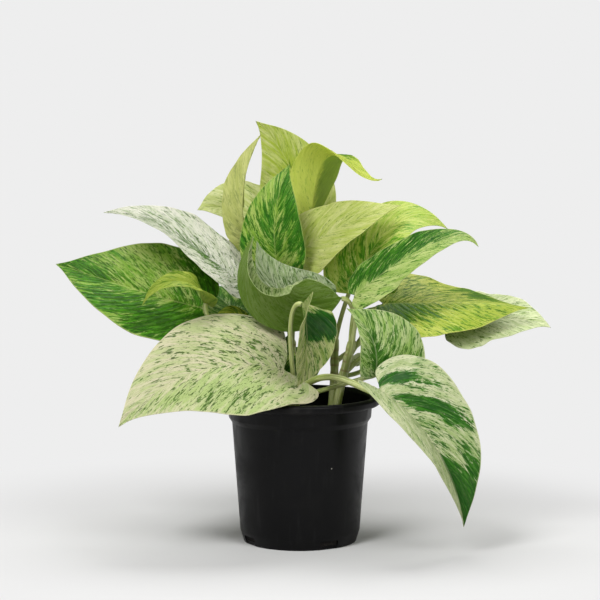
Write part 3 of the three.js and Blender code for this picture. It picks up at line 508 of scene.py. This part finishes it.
def leaf_material(name, paint, seed):
    """Green patches, streaks and specks on a pale blade, all drawn out along its side veins."""
    shade = new_material(name)
    cream, mist, green, dark = linear(paint["colours"])
    amount, specks, haze = paint["amounts"]
    below, covering = paint["under"]
    across, along, _ = shade.parts(shade.pattern("veins"))
    across = shade.scaled(shade.size(along), -VEIN_SWEEP, across)
    veins = shade.node("CombineXYZ", {0: across, 1: along}).outputs[0]
    edge, _, under = shade.parts(shade.attribute("blade"))
    more_green, more_specks, more_haze = shade.parts(shade.attribute("paint"))

    def field(key):
        *scales, layer, detail, roughness, distortion = LEAF_NOISES[key]
        scales = (*paint.get(key, scales), 1)
        shifts = (seed * LAYER_GAPS[0], seed * LAYER_GAPS[1], seed + LAYER_GAPS[2] * layer)
        return shade.noise(shade.place(veins, scales, shifts), 1.0, detail, roughness, distortion)

    # Where it is green, and where that green is dark.
    frays = field("frays")
    tone = shade.add(shade.times(field("patches"), STREAKS[0]), shade.times(field("streaks"), STREAKS[1]))
    tone = shade.add(tone, shade.scaled(frays, STREAKS[2], more_green))
    edge_of_green = GREEN_EDGE[0] + GREEN_EDGE[1] * (0.5 - amount)
    is_green = shade.step(tone, edge_of_green - 0.012, edge_of_green + 0.014)
    depth = shade.scaled(field("depth"), 0.5, shade.times(frays, 0.3))
    depth = shade.add(depth, shade.times(tone, 0.6))
    edge_of_dark = DARK_EDGE[0] + DARK_EDGE[1] * edge_of_green
    is_dark = shade.step(depth, edge_of_dark, edge_of_dark + DARK_EDGE[2])

    # Specks, which gather in clusters, and finer ones among them.
    local = shade.add(more_specks, shade.scaled(field("clusters"), 0.8, specks - 0.4))
    speck_edge = shade.scaled(local, SPECK_EDGE[1], SPECK_EDGE[0])
    is_speck = shade.step(shade.math("SUBTRACT", field("grain"), speck_edge), -0.008, 0.016)
    fine = shade.step(field("fine_grain"), 0.58, 0.66)
    fine = shade.times(fine, shade.math("MULTIPLY", local, 0.9, clamp=True))
    is_speck = shade.math("MAXIMUM", is_speck, fine)

    # The pale ground, the green on it, and the specks on both.
    cloud = shade.step(field("cloud"), 0.38, 0.62, 0.0, 0.9)
    cloud = shade.add(cloud, shade.add(more_haze, haze - 0.5))
    fibres = field("fibres")
    pale = shade.mix(shade.math("MULTIPLY", cloud, 1.0, clamp=True), cream, mist)
    pale = shade.mix(shade.step(fibres, 0.42, 0.66, 0.0, 0.45), pale, mist)
    leafy = shade.mix(is_dark, green, dark)
    leafy = shade.mix(shade.step(fibres, 0.52, 0.68, 0.0, 0.3), leafy, mist)
    colour = shade.mix(is_green, pale, leafy)
    ink = shade.mix(shade.step(field("ink"), 0.4, 0.6), green, dark)
    colour = shade.mix(shade.times(is_speck, 0.9), colour, ink)

    # Pale side veins, midrib and margin, and the duller underside, which on the cupped leaf is darkened
    # as painted shade.
    spacing = SIDE_VEIN_SPACING / PATTERN_UNIT
    phase = shade.math("FRACT", shade.math("DIVIDE", across, spacing))
    vein = shade.step(shade.size(shade.add(phase, -0.5)), 0.05, 0.0)
    rib = shade.step(shade.size(along), 0.10, 0.02)
    margin = shade.step(shade.size(edge), 0.975, 0.99)
    for line, share in zip((vein, rib, margin), LINE_SHARES):
        colour = shade.mix(shade.times(line, share), colour, cream)
    colour = shade.mix(shade.times(under, covering), colour, *linear(below))

    swell = shade.math("COSINE", shade.math("DIVIDE", across, spacing / 2 / math.pi))
    relief = shade.add(shade.times(swell, -0.35), shade.times(vein, -0.4))
    relief = shade.add(relief, shade.times(field("relief"), 0.5))
    normal = shade.bump(relief, *LEAF_BUMP)
    rough = shade.add(shade.times(field("wax"), 0.24), shade.scaled(under, 0.16, 0.3))
    body = shade.skin(colour, rough, LEAF_GLOSS, normal)
    warm = shade.mix(0.35, colour, LIGHT_THROUGH)
    through = shade.node("BsdfTranslucent", {"Color": warm, "Normal": normal}).outputs[0]
    return shade.finish(shade.blend(paint["glow"], body, through))


def stalk_material():
    """Pale green skin with cream and green streaks along it, brown at the nodes."""
    shade = new_material("stalk_skin")
    skin, cream, green, brown = linear(STALK_COLOURS)
    lines = shade.pattern("length")
    scar, _, _ = shade.parts(shade.attribute("scar"))
    streak = shade.noise(shade.place(lines, (9, 0.5, 1)), 1.0, 5, 0.6, 0.2)
    patch = shade.noise(shade.place(lines, (2, 0.35, 1), (3, 0, 5)), 1.0, 4, 0.6, 0.3)
    flecks = shade.noise(shade.place(lines, (16, 5, 1), (0, 0, 9)), 1.0, 2, 0.5)
    relief = shade.noise(shade.place(lines, (12, 0.6, 1), (0, 0, 2)), 1.0, 4, 0.6)
    colour = shade.mix(shade.step(streak, 0.47, 0.6, 0.0, 0.75), skin, cream)
    colour = shade.mix(shade.step(patch, 0.5, 0.62, 0.0, 0.8), colour, green)
    colour = shade.mix(shade.step(flecks, 0.62, 0.7, 0.0, 0.5), colour, green)
    colour = shade.mix(scar, colour, brown)
    rough = shade.step(streak, 0.3, 0.7, 0.38, 0.55)
    body = shade.skin(colour, rough, 0.45, shade.bump(relief, 0.0002, 0.6))
    through = shade.node("BsdfTranslucent", {"Color": colour}).outputs[0]
    return shade.finish(shade.blend(STALK_GLOW, body, through))


def pot_material():
    """Black moulded plastic, a little dusty on the collar, with faint scuffs and specks of grit."""
    shade = new_material("pot_plastic")
    spot = shade.spot()
    _, _, height = shade.parts(spot)
    cloud = shade.noise(spot, 45.0, 6, 0.65, 0.6)
    fine = shade.noise(spot, 900.0, 3, 0.6)
    runs = shade.noise(shade.place(spot, (260, 260, 22)), 1.0, 4, 0.6, 0.2)
    dust = shade.times(shade.step(cloud, 0.46, 0.75), shade.step(height, 0.06, 0.1, 0.25, 1.0))
    dust = shade.times(dust, shade.step(fine, 0.3, 0.7, 0.4, 1.0))
    colour = shade.mix(shade.times(dust, 0.04), *linear(POT_COLOUR), DUST_COLOUR)
    colour = shade.mix(shade.step(runs, 0.55, 0.75, 0.0, 0.02), colour, SCUFF_COLOUR)
    grit = shade.node("TexVoronoi", {"Vector": spot, "Scale": 95.0, "Randomness": 1.0})
    chosen = shade.step(shade.parts(grit.outputs["Color"])[0], 0.965, 0.97)
    speck = shade.times(shade.step(grit.outputs["Distance"], 0.07, 0.035), chosen)
    colour = shade.mix(speck, colour, GRIT_COLOUR)
    rough = shade.add(shade.step(cloud, 0.35, 0.7, 0.32, 0.5), shade.times(dust, 0.25))
    relief = shade.add(shade.times(fine, 0.5), shade.times(runs, 0.4))
    return shade.finish(shade.skin(colour, rough, POT_GLOSS, shade.bump(relief, 0.00012, 0.35)))


def soil_material():
    """Dark moist peat with lighter fibres."""
    shade = new_material("soil_peat")
    spot = shade.spot()
    lumps = shade.noise(spot, 420.0, 6, 0.7, 0.5)
    colour = shade.mix(shade.step(lumps, 0.4, 0.7), *linear(SOIL_COLOURS))
    relief = shade.noise(spot, 900.0, 6, 0.7)
    return shade.finish(shade.skin(colour, 0.95, 0.2, shade.bump(relief, 0.0008, 0.9)))


def floor_material():
    """Pale paper near the pot, which melts into the backdrop further out."""
    shade = new_material("floor_paper")
    x, y, _ = shade.parts(shade.spot())
    distance = shade.math("SQRT", shade.add(shade.times(x, x), shade.times(y, y)))
    paper = shade.node("BsdfDiffuse", {"Color": grey(FLOOR_LEVEL)}).outputs[0]
    glow = shade.node("Emission", {"Color": grey(BACKDROP_LEVEL), "Strength": 1.0}).outputs[0]
    return shade.finish(shade.blend(shade.step(distance, *FLOOR_FADE), paper, glow))


# ---------------- pieces


def placed(name, data):
    """A new object in the scene."""
    made = bpy.data.objects.new(name, data)
    bpy.context.scene.collection.objects.link(made)
    return made


def smooth(mesh, sharp):
    mesh.shade_smooth()
    mesh.set_sharp_from_angle(angle=math.radians(sharp))


def add_piece(name, node, points, faces, material, sharp, pattern=None, attributes=None):
    """A smooth closed mesh from points in millimetres, which stands for one node of the frame."""
    mesh = bpy.data.meshes.new(name)
    mesh.from_pydata([tuple(p) for p in np.asarray(points) * MM], [], [tuple(map(int, f)) for f in faces])
    mesh.update()
    if pattern:
        layer = mesh.uv_layers.new(name=pattern[0])
        places = [place for corners in pattern[1] for place in corners]
        layer.data.foreach_set("uv", np.asarray(places, dtype=np.float32).ravel())
    for key, values in (attributes or {}).items():
        made = mesh.attributes.new(key, "FLOAT_VECTOR", "POINT")
        made.data.foreach_set("vector", np.asarray(values, dtype=np.float32).ravel())
    mesh.materials.append(material)
    smooth(mesh, sharp)
    piece = placed(name, mesh)
    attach(piece, "root")
    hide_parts(node)
    return piece


def unit(vectors):
    return vectors / np.maximum(np.linalg.norm(vectors, axis=-1, keepdims=True), 1e-12)


def bell(distance, width):
    return np.exp(-(distance / width)**2)


# ---------------- leaves


def through_points(rows, share):
    """A smooth curve through evenly spaced rows of numbers, at shares of its whole run."""
    rows = np.asarray(rows, float)
    last = len(rows) - 1
    place = np.minimum(share * last, last - 1e-9)
    i = np.floor(place).astype(int)
    t = (place - i)[..., None]
    a, b, c, d = (rows[np.clip(i + k, 0, last)] for k in (-1, 0, 1, 2))
    square = 2 * a - 5 * b + 4 * c - d
    cube = 3 * b - a - 3 * c + d
    return 0.5 * (2 * b + (c - a) * t + square * t**2 + cube * t**3)


class Line:
    """A curve kept as many short steps, read at shares of its length."""

    def __init__(self, places):
        self.places = np.asarray(places, float)
        steps = np.linalg.norm(np.diff(self.places, axis=0), axis=1)
        self.length = steps.sum()
        self.run = np.concatenate([[0], np.cumsum(steps)]) / self.length
        self.slopes = unit(np.gradient(self.places, axis=0, edge_order=2))

    def at(self, share):
        """Its places and directions there."""
        read = [np.stack([np.interp(share, self.run, rows[:, k]) for k in range(3)], axis=-1)
                for rows in (self.places, self.slopes)]
        return read[0], unit(read[1])


def bezier(points, steps=400):
    a, b, c, d = np.asarray(points, float)
    t = np.linspace(0, 1, steps + 1)[:, None]
    return Line((1 - t)**3 * a + 3 * t * (1 - t)**2 * b + 3 * t**2 * (1 - t) * c + t**3 * d)


def blade_axes(leaf, midrib, forward):
    """Places on the midrib with the blade's own axes there: along it, out of its face, sideways."""
    u = np.clip(forward, 0, 1)
    place, along = midrib.at(u)
    weights = np.stack([(1 - u) * (1 - 2 * u), 4 * u * (1 - u), u * (2 * u - 1)], axis=-1)
    out = weights @ unit(np.asarray(leaf.facing, float))
    out = unit(out - along * np.sum(out * along, axis=-1, keepdims=True))
    return place, along, out, np.cross(out, along)


def bent(leaf, midrib, flat, seed):
    """Where points of the flat leaf lie once it is bent, folded, curled and waved."""
    forward, sideways, edge, hand = flat
    place, along, out, side = blade_axes(leaf, midrib, forward)
    place = place + along * (np.minimum(forward, 0) * midrib.length)[..., None]
    u = np.clip(forward, 0, 1)
    fold = np.radians(leaf.fold[0] * (1 - u) + leaf.fold[1] * u)
    turn = fold + BLADE_CURL * sideways
    across = (np.sin(turn) - np.sin(fold)) / BLADE_CURL
    rise = (np.cos(fold) - np.cos(turn)) / BLADE_CURL
    phase = np.where(hand > 0, 0, WAVE_SIDE_SHIFT)
    share = sideways / leaf.half_width
    rise = rise + leaf.wave * edge**2 * share * np.sin(4 * np.pi * forward + phase)
    height, wide, fine = FLUTTER
    flutter = np.sin(wide * forward + 2.1 * seed + hand)
    flutter = flutter + 0.6 * np.sin(fine * forward + 1.3 * seed - hand)
    rise = rise + height * edge**3 * share * flutter
    count = round(midrib.length / SIDE_VEIN_SPACING)
    veins = forward - VEIN_SWEEP * sideways / midrib.length
    rise = rise + QUILTING * np.sin(np.pi * edge) * np.cos(2 * np.pi * count * veins)
    return place + side * (hand * across)[..., None] + out * rise[..., None]


# Places on the flat leaf, how near the margin each is, and on which half.
Flat = namedtuple("Flat", "forward sideways edge hand")


def flat_blade(leaf):
    """A grid over the flat leaf."""
    columns = np.arange(-BLADE_CELLS, BLADE_CELLS + 1)
    rows = np.linspace(NOTCH_SHARE, 1, BLADE_ROWS + 1)
    forward, broad, root = (values[:, None] for values in through_points(LEAF_OUTLINE, rows).T)
    hand = np.where(columns >= 0, 1, -1)[None, :]
    edge = (np.abs(columns) / BLADE_CELLS)[None, :] ** BLADE_SPREAD
    lobes = np.where(hand > 0, *reversed(leaf.lobes))
    breadth = np.where(hand > 0, *reversed(leaf.breadth))
    start = np.maximum(root, 0)
    forward = start + (np.where(forward < 0, forward * lobes, forward) - start) * edge
    sideways = breadth * np.maximum(broad, 0) ** leaf.taper * leaf.half_width * edge
    return Flat(*np.broadcast_arrays(forward, sideways, edge, hand))


def vein_places(sheet):
    """How far each point of a sheet lies from its foot and from its midrib, in pattern units."""
    middle, quarter = BLADE_CELLS, BLADE_CELLS // 2
    steps = np.linalg.norm(np.diff(sheet, axis=1), axis=2) / PATTERN_UNIT
    start = np.zeros((len(sheet), 1))
    right = np.concatenate([start, np.cumsum(steps[:, middle:], axis=1)], axis=1)
    left = np.concatenate([start, np.cumsum(steps[:, :middle][:, ::-1], axis=1)], axis=1)
    along = np.concatenate([-left[:, :0:-1], right], axis=1)
    sides = (middle + quarter, middle - quarter)
    gaps = [np.linalg.norm(np.diff(sheet[:, k], axis=0), axis=1) for k in sides]
    gaps = np.mean(gaps, axis=0) / PATTERN_UNIT
    across = np.concatenate([[0], np.cumsum(gaps)])[:, None]
    return np.stack(np.broadcast_arrays(across, along), axis=-1)


def sheet_faces(ids, places):
    """The faces of a grid of numbered points, and the pattern's place at each of their corners."""
    faces, corners = [], []
    for r, c in np.ndindex(ids.shape[0] - 1, ids.shape[1] - 1):
        kept = {}
        for cell in [(r, c), (r, c + 1), (r + 1, c + 1), (r + 1, c)]:
            kept.setdefault(ids[cell], places[cell])
        if len(kept) > 2:
            faces.append(list(kept))
            corners.append(list(kept.values()))
    return faces, corners


def point_normals(points, faces):
    normals = np.zeros_like(points)
    for face in faces:
        p = points[face]
        normals[face] += np.cross(p[1] - p[0], p[2] - p[0]) + np.cross(p[2] - p[0], p[-1] - p[0])
    return unit(normals)


def blotched(paint, flat):
    """What a leaf's blotches add to its green, specks and mist at each point."""
    spots = flat.forward - paint["lean"] * flat.edge
    signed = flat.edge * flat.hand
    bias = np.zeros((len(spots), 3))
    for spot, side, size, spread, *adds in paint["blotches"]:
        weight = np.exp(-((spots - spot) / size)**2 - ((signed - side) / spread)**2)
        bias += weight[:, None] * np.asarray(adds)
    return bias


def add_blade(name, leaf, seed):
    """A thin blade with two faces, a grooved midrib above, a keel below and a fine margin."""
    flat = flat_blade(leaf)
    sheet = bent(leaf, bezier(leaf.midrib), flat, seed)
    keys = np.round(sheet.reshape(-1, 3) * 1e4).astype(np.int64)
    _, first, ids = np.unique(keys, axis=0, return_index=True, return_inverse=True)
    ids = ids.reshape(sheet.shape[:2])
    points = sheet.reshape(-1, 3)[first]
    flat = Flat(*(values.reshape(-1)[first] for values in flat))
    faces, corners = sheet_faces(ids, vein_places(sheet))
    downwards = point_normals(points, faces)

    half = BLADE_THICKNESS / 2 * (1 - BLADE_THINNING * flat.edge**2)
    groove = RIB_GROOVE[0] * bell(flat.sideways, RIB_GROOVE[1])
    keel = RIB_KEEL[0] + (RIB_KEEL[1] - RIB_KEEL[0]) * np.clip(flat.forward, 0, 1)
    keel = keel * bell(flat.sideways, RIB_KEEL[2])
    lower = points + downwards * (half + keel)[:, None]
    upper = points - downwards * (half - groove)[:, None]

    count = len(points)
    place_of = {}
    for face, places in zip(faces, corners):
        for i, place in zip(face, places):
            place_of.setdefault(i, place)
    faces += [[count + i for i in reversed(face)] for face in faces]
    corners += [places[::-1] for places in corners]
    rim = [*ids[0, BLADE_CELLS:-1], *ids[:, -1], *ids[-2::-1, 0], *ids[0, 1:BLADE_CELLS]]
    for a, b in zip(rim, rim[1:] + rim[:1]):
        if a != b:
            faces.append([b, a, count + a, count + b])
            corners.append([place_of[b], place_of[a], place_of[a], place_of[b]])

    paint = {**PLAIN, **LOOKS[leaf.look], **PAINT.get(name, {})}
    signed = np.tile(flat.edge * flat.hand, 2)
    below = np.repeat([1, 0], count)
    attributes = {
        "blade": np.column_stack([signed, np.tile(flat.forward, 2), below]),
        "paint": np.tile(blotched(paint, flat), (2, 1)),
    }
    title = name.replace("leaf_", "blade_")
    material = leaf_material(title, paint, seed)
    add_piece(title, name, np.concatenate([lower, upper]), faces, material, 50,
              ("veins", corners), attributes)


# ---------------- cuttings


def stem_line(points):
    """The stem from its cut end in the soil to its top, through all its points."""
    x, y = points[0][:2]
    whole = np.asarray([[x, y, STEM_FOOT], [x, y, (STEM_FOOT + SOIL_TOP) / 2]] + points, float)
    whole = np.concatenate([[2 * whole[0] - whole[1]], whole, [2 * whole[-1] - whole[-2]]])
    places = []
    for a, b, c, d in zip(whole, whole[1:], whole[2:], whole[3:]):
        before, here, after = (math.sqrt(np.linalg.norm(q - p)) for p, q in ((a, b), (b, c), (c, d)))
        start = ((b - a) / before - (c - a) / (before + here) + (c - b) / here) * here
        end = ((c - b) / here - (d - b) / (here + after) + (d - c) / after) * here
        t = np.linspace(0, 1, 40, endpoint=False)[:, None]
        square = -3 * b + 3 * c - 2 * start - end
        cube = 2 * b - 2 * c + start + end
        places.append(b + start * t + square * t**2 + cube * t**3)
    return Line(np.concatenate(places + [whole[-2:-1]]))


def node_share(leaf, stem):
    """Where a leaf's stalk leaves the stem, as a share of the stem's length."""
    soil_share = (SOIL_TOP + STEM_RADIUS - STEM_FOOT) / stem.length
    return soil_share + (TOP_NODE - soil_share) * leaf.node


def stalk_line(leaf, stem):
    """A stalk from a node on the stem to the underside of its blade."""
    place, along, out, _ = (v[0] for v in blade_axes(leaf, bezier(leaf.midrib), np.zeros(1)))
    arrival = unit(out + along * STALK_LEAN)
    tilt = math.sqrt(1 - float(arrival @ out)**2)
    end = place - out * (BLADE_THICKNESS / 2 + STALK_RADIUS * tilt)
    start = stem.at(node_share(leaf, stem))[0]
    bend = np.asarray(leaf.bend, float)
    approach = end - arrival * STALK_REACH * np.linalg.norm(end - bend)
    return bezier([start, bend, approach, end], 200)


def sweep(line, radii, sides, base, groove=(0, 1)):
    """A closed tube of changing radius along a line: its points, faces and corner places."""
    steps = len(radii)
    places, slopes = line.at(np.linspace(0, 1, steps))
    across = unit(np.cross(slopes[0], [0.31, 0.87, 0.4]))
    angles = np.linspace(0, 2 * np.pi, sides, endpoint=False)
    shape = 1 - groove[0] * bell(np.minimum(angles, 2 * np.pi - angles), groove[1])
    points = []
    for place, slope, radius in zip(places, slopes, radii):
        across = unit(across - slope * (across @ slope))
        other = np.cross(slope, across)
        ring = radius * shape
        rim = np.outer(ring * np.sin(angles), other)
        points.append(place + np.outer(ring * np.cos(angles), across) + rim)
    faces, corners = [], []
    length = line.length / PATTERN_UNIT
    girth = 2 * math.pi * float(np.max(radii)) / PATTERN_UNIT
    for i, k in np.ndindex(steps - 1, sides):
        n = (k + 1) % sides
        lower, upper = base + i * sides, base + (i + 1) * sides
        faces.append([lower + k, lower + n, upper + n, upper + k])
        low, high = i / (steps - 1) * length, (i + 1) / (steps - 1) * length
        left, right = k / sides * girth, (k + 1) / sides * girth
        corners.append([(left, low), (right, low), (right, high), (left, high)])
    last = base + (steps - 1) * sides
    faces += [[base + k for k in reversed(range(sides))], [last + k for k in range(sides)]]
    corners += [[(0.05 * k, height) for k in range(sides)] for height in (0, length)]
    return np.concatenate(points), faces, corners


def add_cutting(name, points, skin):
    """A stem with its nodes and scars, and all the stalks that grow from it."""
    stem = stem_line(points)
    leaves = [leaf for leaf in LEAVES.values() if leaf.vine == name]
    nodes = [node_share(leaf, stem) for leaf in leaves]
    share = np.linspace(0, 1, STEM_RINGS)
    slim, swelling, length = NODE_SWELL
    swell = sum(bell(share - place, length) for place in nodes)
    top = np.sqrt(np.clip((1.02 - share) / 0.05, 0.08, 1))
    radii = STEM_RADIUS * (slim + swelling * np.minimum(swell, 1)) * top
    tube, faces, corners = sweep(stem, radii, STEM_SIDES, 0)
    near = np.min([np.abs(share - place) for place in nodes], axis=0)
    tubes = [tube]
    scars = [np.repeat(SCAR[0] * bell(near - SCAR[1], SCAR[2]), STEM_SIDES)]
    share = np.linspace(0, 1, STALK_RINGS)
    sheath = STALK_SHEATH[0] * np.exp(-share / STALK_SHEATH[1])
    joint = STALK_JOINT[0] * bell(share - STALK_JOINT[1], STALK_JOINT[2])
    for leaf in leaves:
        radii = leaf.stalk * (1.0 + sheath + joint)
        base = sum(len(tube) for tube in tubes)
        tube, more, places = sweep(stalk_line(leaf, stem), radii, STALK_SIDES, base, STALK_GROOVE)
        tubes.append(tube)
        scars.append(np.zeros(len(tube)))
        faces += more
        corners += places
    scar = np.concatenate(scars)
    attributes = {"scar": np.stack([scar, 0 * scar, 0 * scar], 1)}
    add_piece(name.replace("vine_", "cutting_"), name, np.concatenate(tubes), faces, skin, 60,
              ("length", corners), attributes)


# ---------------- pot and soil


def rounded(profile, radius, steps=5):
    """A profile with each inner corner replaced by a small curve."""
    points = np.asarray(profile, float)
    made = [points[0]]
    for before, here, after in zip(points, points[1:], points[2:]):
        into, away = before - here, after - here
        cut = min(radius, 0.45 * np.linalg.norm(into), 0.45 * np.linalg.norm(away))
        start, end = here + unit(into) * cut, here + unit(away) * cut
        for t in np.linspace(0, 1, steps):
            made.append((1 - t)**2 * start + 2 * t * (1 - t) * here + t**2 * end)
    return made + [points[-1]]


def turned(profile, segments):
    """The points and faces of a closed turned body. The profile starts and ends on the axis."""
    ring = [(r, z) for r, z in profile if r > 1e-6]
    angles = np.linspace(0, 2 * np.pi, segments, endpoint=False)
    points = [(r * math.cos(a), r * math.sin(a), z) for r, z in ring for a in angles]
    foot, top = len(points), len(points) + 1
    points += [(0, 0, profile[0][1]), (0, 0, profile[-1][1])]
    last = (len(ring) - 1) * segments
    faces = []
    for k in range(segments):
        n = (k + 1) % segments
        faces += [[foot, n, k], [top, last + k, last + n]]
        for i in range(0, last, segments):
            faces.append([i + k, i + n, i + segments + n, i + segments + k])
    return points, faces


def inner_radius(height):
    share = (height - POT_SHOULDER_HEIGHT) / (POT_STEP_HEIGHT - POT_SHOULDER_HEIGHT)
    return POT_SHOULDER_RADIUS + (POT_BODY_RADIUS - POT_SHOULDER_RADIUS) * share - POT_WALL


def pot_profile():
    """Half the pot's section: up its outside, over the rolled lip and down its inside."""
    collar_foot = POT_STEP_HEIGHT + COLLAR_RISE
    lip_foot = POT_HEIGHT - LIP_HEIGHT
    return [
        [0, 0],
        [POT_FOOT_RADIUS, 0],
        [POT_SHOULDER_RADIUS, POT_SHOULDER_HEIGHT],
        [POT_BODY_RADIUS, POT_STEP_HEIGHT],
        [POT_COLLAR_RADIUS - COLLAR_SPREAD, collar_foot],
        [POT_COLLAR_RADIUS, lip_foot],
        [POT_RIM_RADIUS - LIP_EDGE, lip_foot],
        [POT_RIM_RADIUS, lip_foot + LIP_EDGE],
        [POT_RIM_RADIUS, POT_HEIGHT - LIP_EDGE],
        [POT_RIM_RADIUS - LIP_EDGE, POT_HEIGHT],
        [POT_COLLAR_RADIUS + LIP_INSIDE[0], POT_HEIGHT],
        [POT_COLLAR_RADIUS - POT_WALL, POT_HEIGHT - LIP_INSIDE[1]],
        [POT_COLLAR_RADIUS - COLLAR_SPREAD - POT_WALL, collar_foot + POT_WALL / 2],
        [POT_BODY_RADIUS - POT_WALL, POT_STEP_HEIGHT + POT_WALL / 2],
        [POT_SHOULDER_RADIUS - POT_WALL, POT_SHOULDER_HEIGHT],
        [POT_SHOULDER_RADIUS - POT_WALL - POT_FLOOR_INSET, POT_FLOOR],
        [0, POT_FLOOR],
    ]


def notch_cutter():
    """Blocks with rounded upright edges, one for each notch in the pot's foot."""
    tool = bmesh.new()
    for i in range(NOTCH_COUNT):
        angle = NOTCH_FIRST_ANGLE + 2 * math.pi * i / NOTCH_COUNT
        made = bmesh.ops.create_cube(tool, size=1)["verts"]
        bmesh.ops.scale(tool, vec=Vector((NOTCH_WIDTH, NOTCH_DEPTH, 2 * NOTCH_HEIGHT)) * MM, verts=made)
        bmesh.ops.translate(tool, vec=Vector((0, -POT_SHOULDER_RADIUS, 0)) * MM, verts=made)
        bmesh.ops.rotate(tool, matrix=Matrix.Rotation(angle, 3, "Z"), verts=made)
    edges = [edge for edge in tool.edges if max(v.co.z for v in edge.verts) > 0]
    bmesh.ops.bevel(tool, geom=edges, offset=NOTCH_ROUNDING * MM, segments=4, profile=0.5, affect="EDGES")
    cutter = placed("notch_cutter", bpy.data.meshes.new("notch_cutter"))
    tool.to_mesh(cutter.data)
    tool.free()
    return cutter


def add_pot():
    """The turned pot, with the notches cut out of its foot."""
    points, faces = turned(rounded(pot_profile(), POT_ROUNDING), POT_SEGMENTS)
    pot = add_piece("pot_shell", "pot", points, faces, pot_material(), POT_SHARP)
    cutter = notch_cutter()
    cut = pot.modifiers.new("notches", "BOOLEAN")
    cut.object = cutter
    cut.operation = "DIFFERENCE"
    cut.solver = "EXACT"
    shape = bpy.data.meshes.new_from_object(pot.evaluated_get(bpy.context.evaluated_depsgraph_get()))
    pot.modifiers.clear()
    pot.data = shape
    smooth(shape, POT_SHARP)
    bpy.data.objects.remove(cutter)


# A crumb: an eight-faced grain.
CRUMB_CORNERS = np.array([[1, 0, 0], [-1, 0, 0], [0, 1, 0], [0, -1, 0], [0, 0, 0.8], [0, 0, -0.8]])
CRUMB_FACES = [[0, 2, 4], [2, 1, 4], [1, 3, 4], [3, 0, 4], [2, 0, 5], [1, 2, 5], [3, 1, 5], [0, 3, 5]]


def add_soil():
    """The soil's body with a lumpy top, and crumbs on it."""
    top_radius = inner_radius(SOIL_TOP) - SEAT_GAP
    foot = POT_FLOOR + SEAT_GAP
    foot_radius = POT_SHOULDER_RADIUS - POT_WALL - POT_FLOOR_INSET - SEAT_GAP
    shoulder_radius = inner_radius(POT_SHOULDER_HEIGHT) - SEAT_GAP
    profile = [[0, foot], [foot_radius, foot], [shoulder_radius, POT_SHOULDER_HEIGHT]]
    profile.append([top_radius, SOIL_TOP])
    profile += [[top_radius * k / SOIL_RINGS, SOIL_TOP] for k in range(SOIL_RINGS - 1, -1, -1)]
    points, faces = turned(profile, SOIL_SEGMENTS)
    points = [list(p) for p in points]
    for p in points:
        if p[2] > SOIL_TOP - 0.1 and math.hypot(p[0], p[1]) < top_radius - 0.1:
            lumps = noise.fractal(Vector(p) * LUMP_SCALE, 0.9, 2.1, 5)
            p[2] += SOIL_BUMP * (0.5 + 0.45 * max(-1, min(1, lumps)))
    random = np.random.default_rng(SOIL_SEED)
    for _ in range(SOIL_CRUMBS):
        angle, radius = random.uniform(0, 2 * math.pi), (top_radius - 1.5) * math.sqrt(random.uniform())
        size = random.uniform(*CRUMB_SIZES)
        height = SOIL_TOP + 0.55 * SOIL_BUMP
        centre = np.array([radius * math.cos(angle), radius * math.sin(angle), height])
        stretch = random.uniform(*CRUMB_STRETCHES, 3) * size
        start = len(points)
        for corner in CRUMB_CORNERS:
            points.append(list(centre + corner * stretch * random.uniform(*CRUMB_CHIPPING)))
        faces += [[start + i for i in face] for face in CRUMB_FACES]
    add_piece("soil_mix", "soil", points, faces, soil_material(), 70)


# ---------------- floor, lights and camera


def add_floor():
    """A pale floor that takes the soft shadows near the pot."""
    mesh = bpy.data.meshes.new("floor")
    r = FLOOR_RADIUS
    mesh.from_pydata([(-r, -r, 0), (r, -r, 0), (r, r, 0), (-r, r, 0)], [], [(0, 1, 2, 3)])
    mesh.materials.append(floor_material())
    floor = placed("floor", mesh)


def add_lights():
    for name, (place, target, size, power) in LIGHTS.items():
        data = bpy.data.lights.new(name, "AREA")
        data.shape = "DISK"
        data.size = size
        data.energy = power
        lamp = placed(name, data)
        lamp.location = place
        lamp.rotation_euler = (Vector(target) - Vector(place)).to_track_quat("-Z", "Y").to_euler()


def add_world():
    """A pale backdrop for the camera, a softer light all round, and a dim one in reflections."""
    shade = Shading(bpy.data.worlds.new("studio"))
    seen = shade.node("Background", {"Color": grey(BACKDROP_LEVEL)}).outputs[0]
    ambient = shade.node("Background", {"Color": WORLD_COLOUR, "Strength": WORLD_LEVEL}).outputs[0]
    dim = shade.node("Background", {"Strength": WORLD_GLOSS}).outputs[0]
    rays = shade.node("LightPath", {}).outputs
    unseen = shade.blend(rays["Is Glossy Ray"], ambient, dim)
    light = shade.blend(rays["Is Camera Ray"], unseen, seen)
    bpy.context.scene.world = shade.finish(light, "OutputWorld")


def add_camera():
    bpy.context.scene.view_settings.view_transform = "Standard"
    data = bpy.data.cameras.new("camera")
    data.sensor_width = CAMERA_SENSOR
    data.lens = CAMERA_LENS
    camera = placed("camera", data)
    camera.location = CAMERA_PLACE
    camera.rotation_euler = (CAMERA_TILT, 0, 0)
    bpy.context.scene.camera = camera


# ---------------- the whole scene

add_camera()
add_pot()
add_soil()
stalk_skin = stalk_material()
for vine_name, vine_points in VINES.items():
    add_cutting(vine_name, vine_points, stalk_skin)
for number, (leaf_name, leaf_shape) in enumerate(LEAVES.items()):
    add_blade(leaf_name, leaf_shape, LEAF_SEED + number)
add_floor()
add_lights()
add_world()
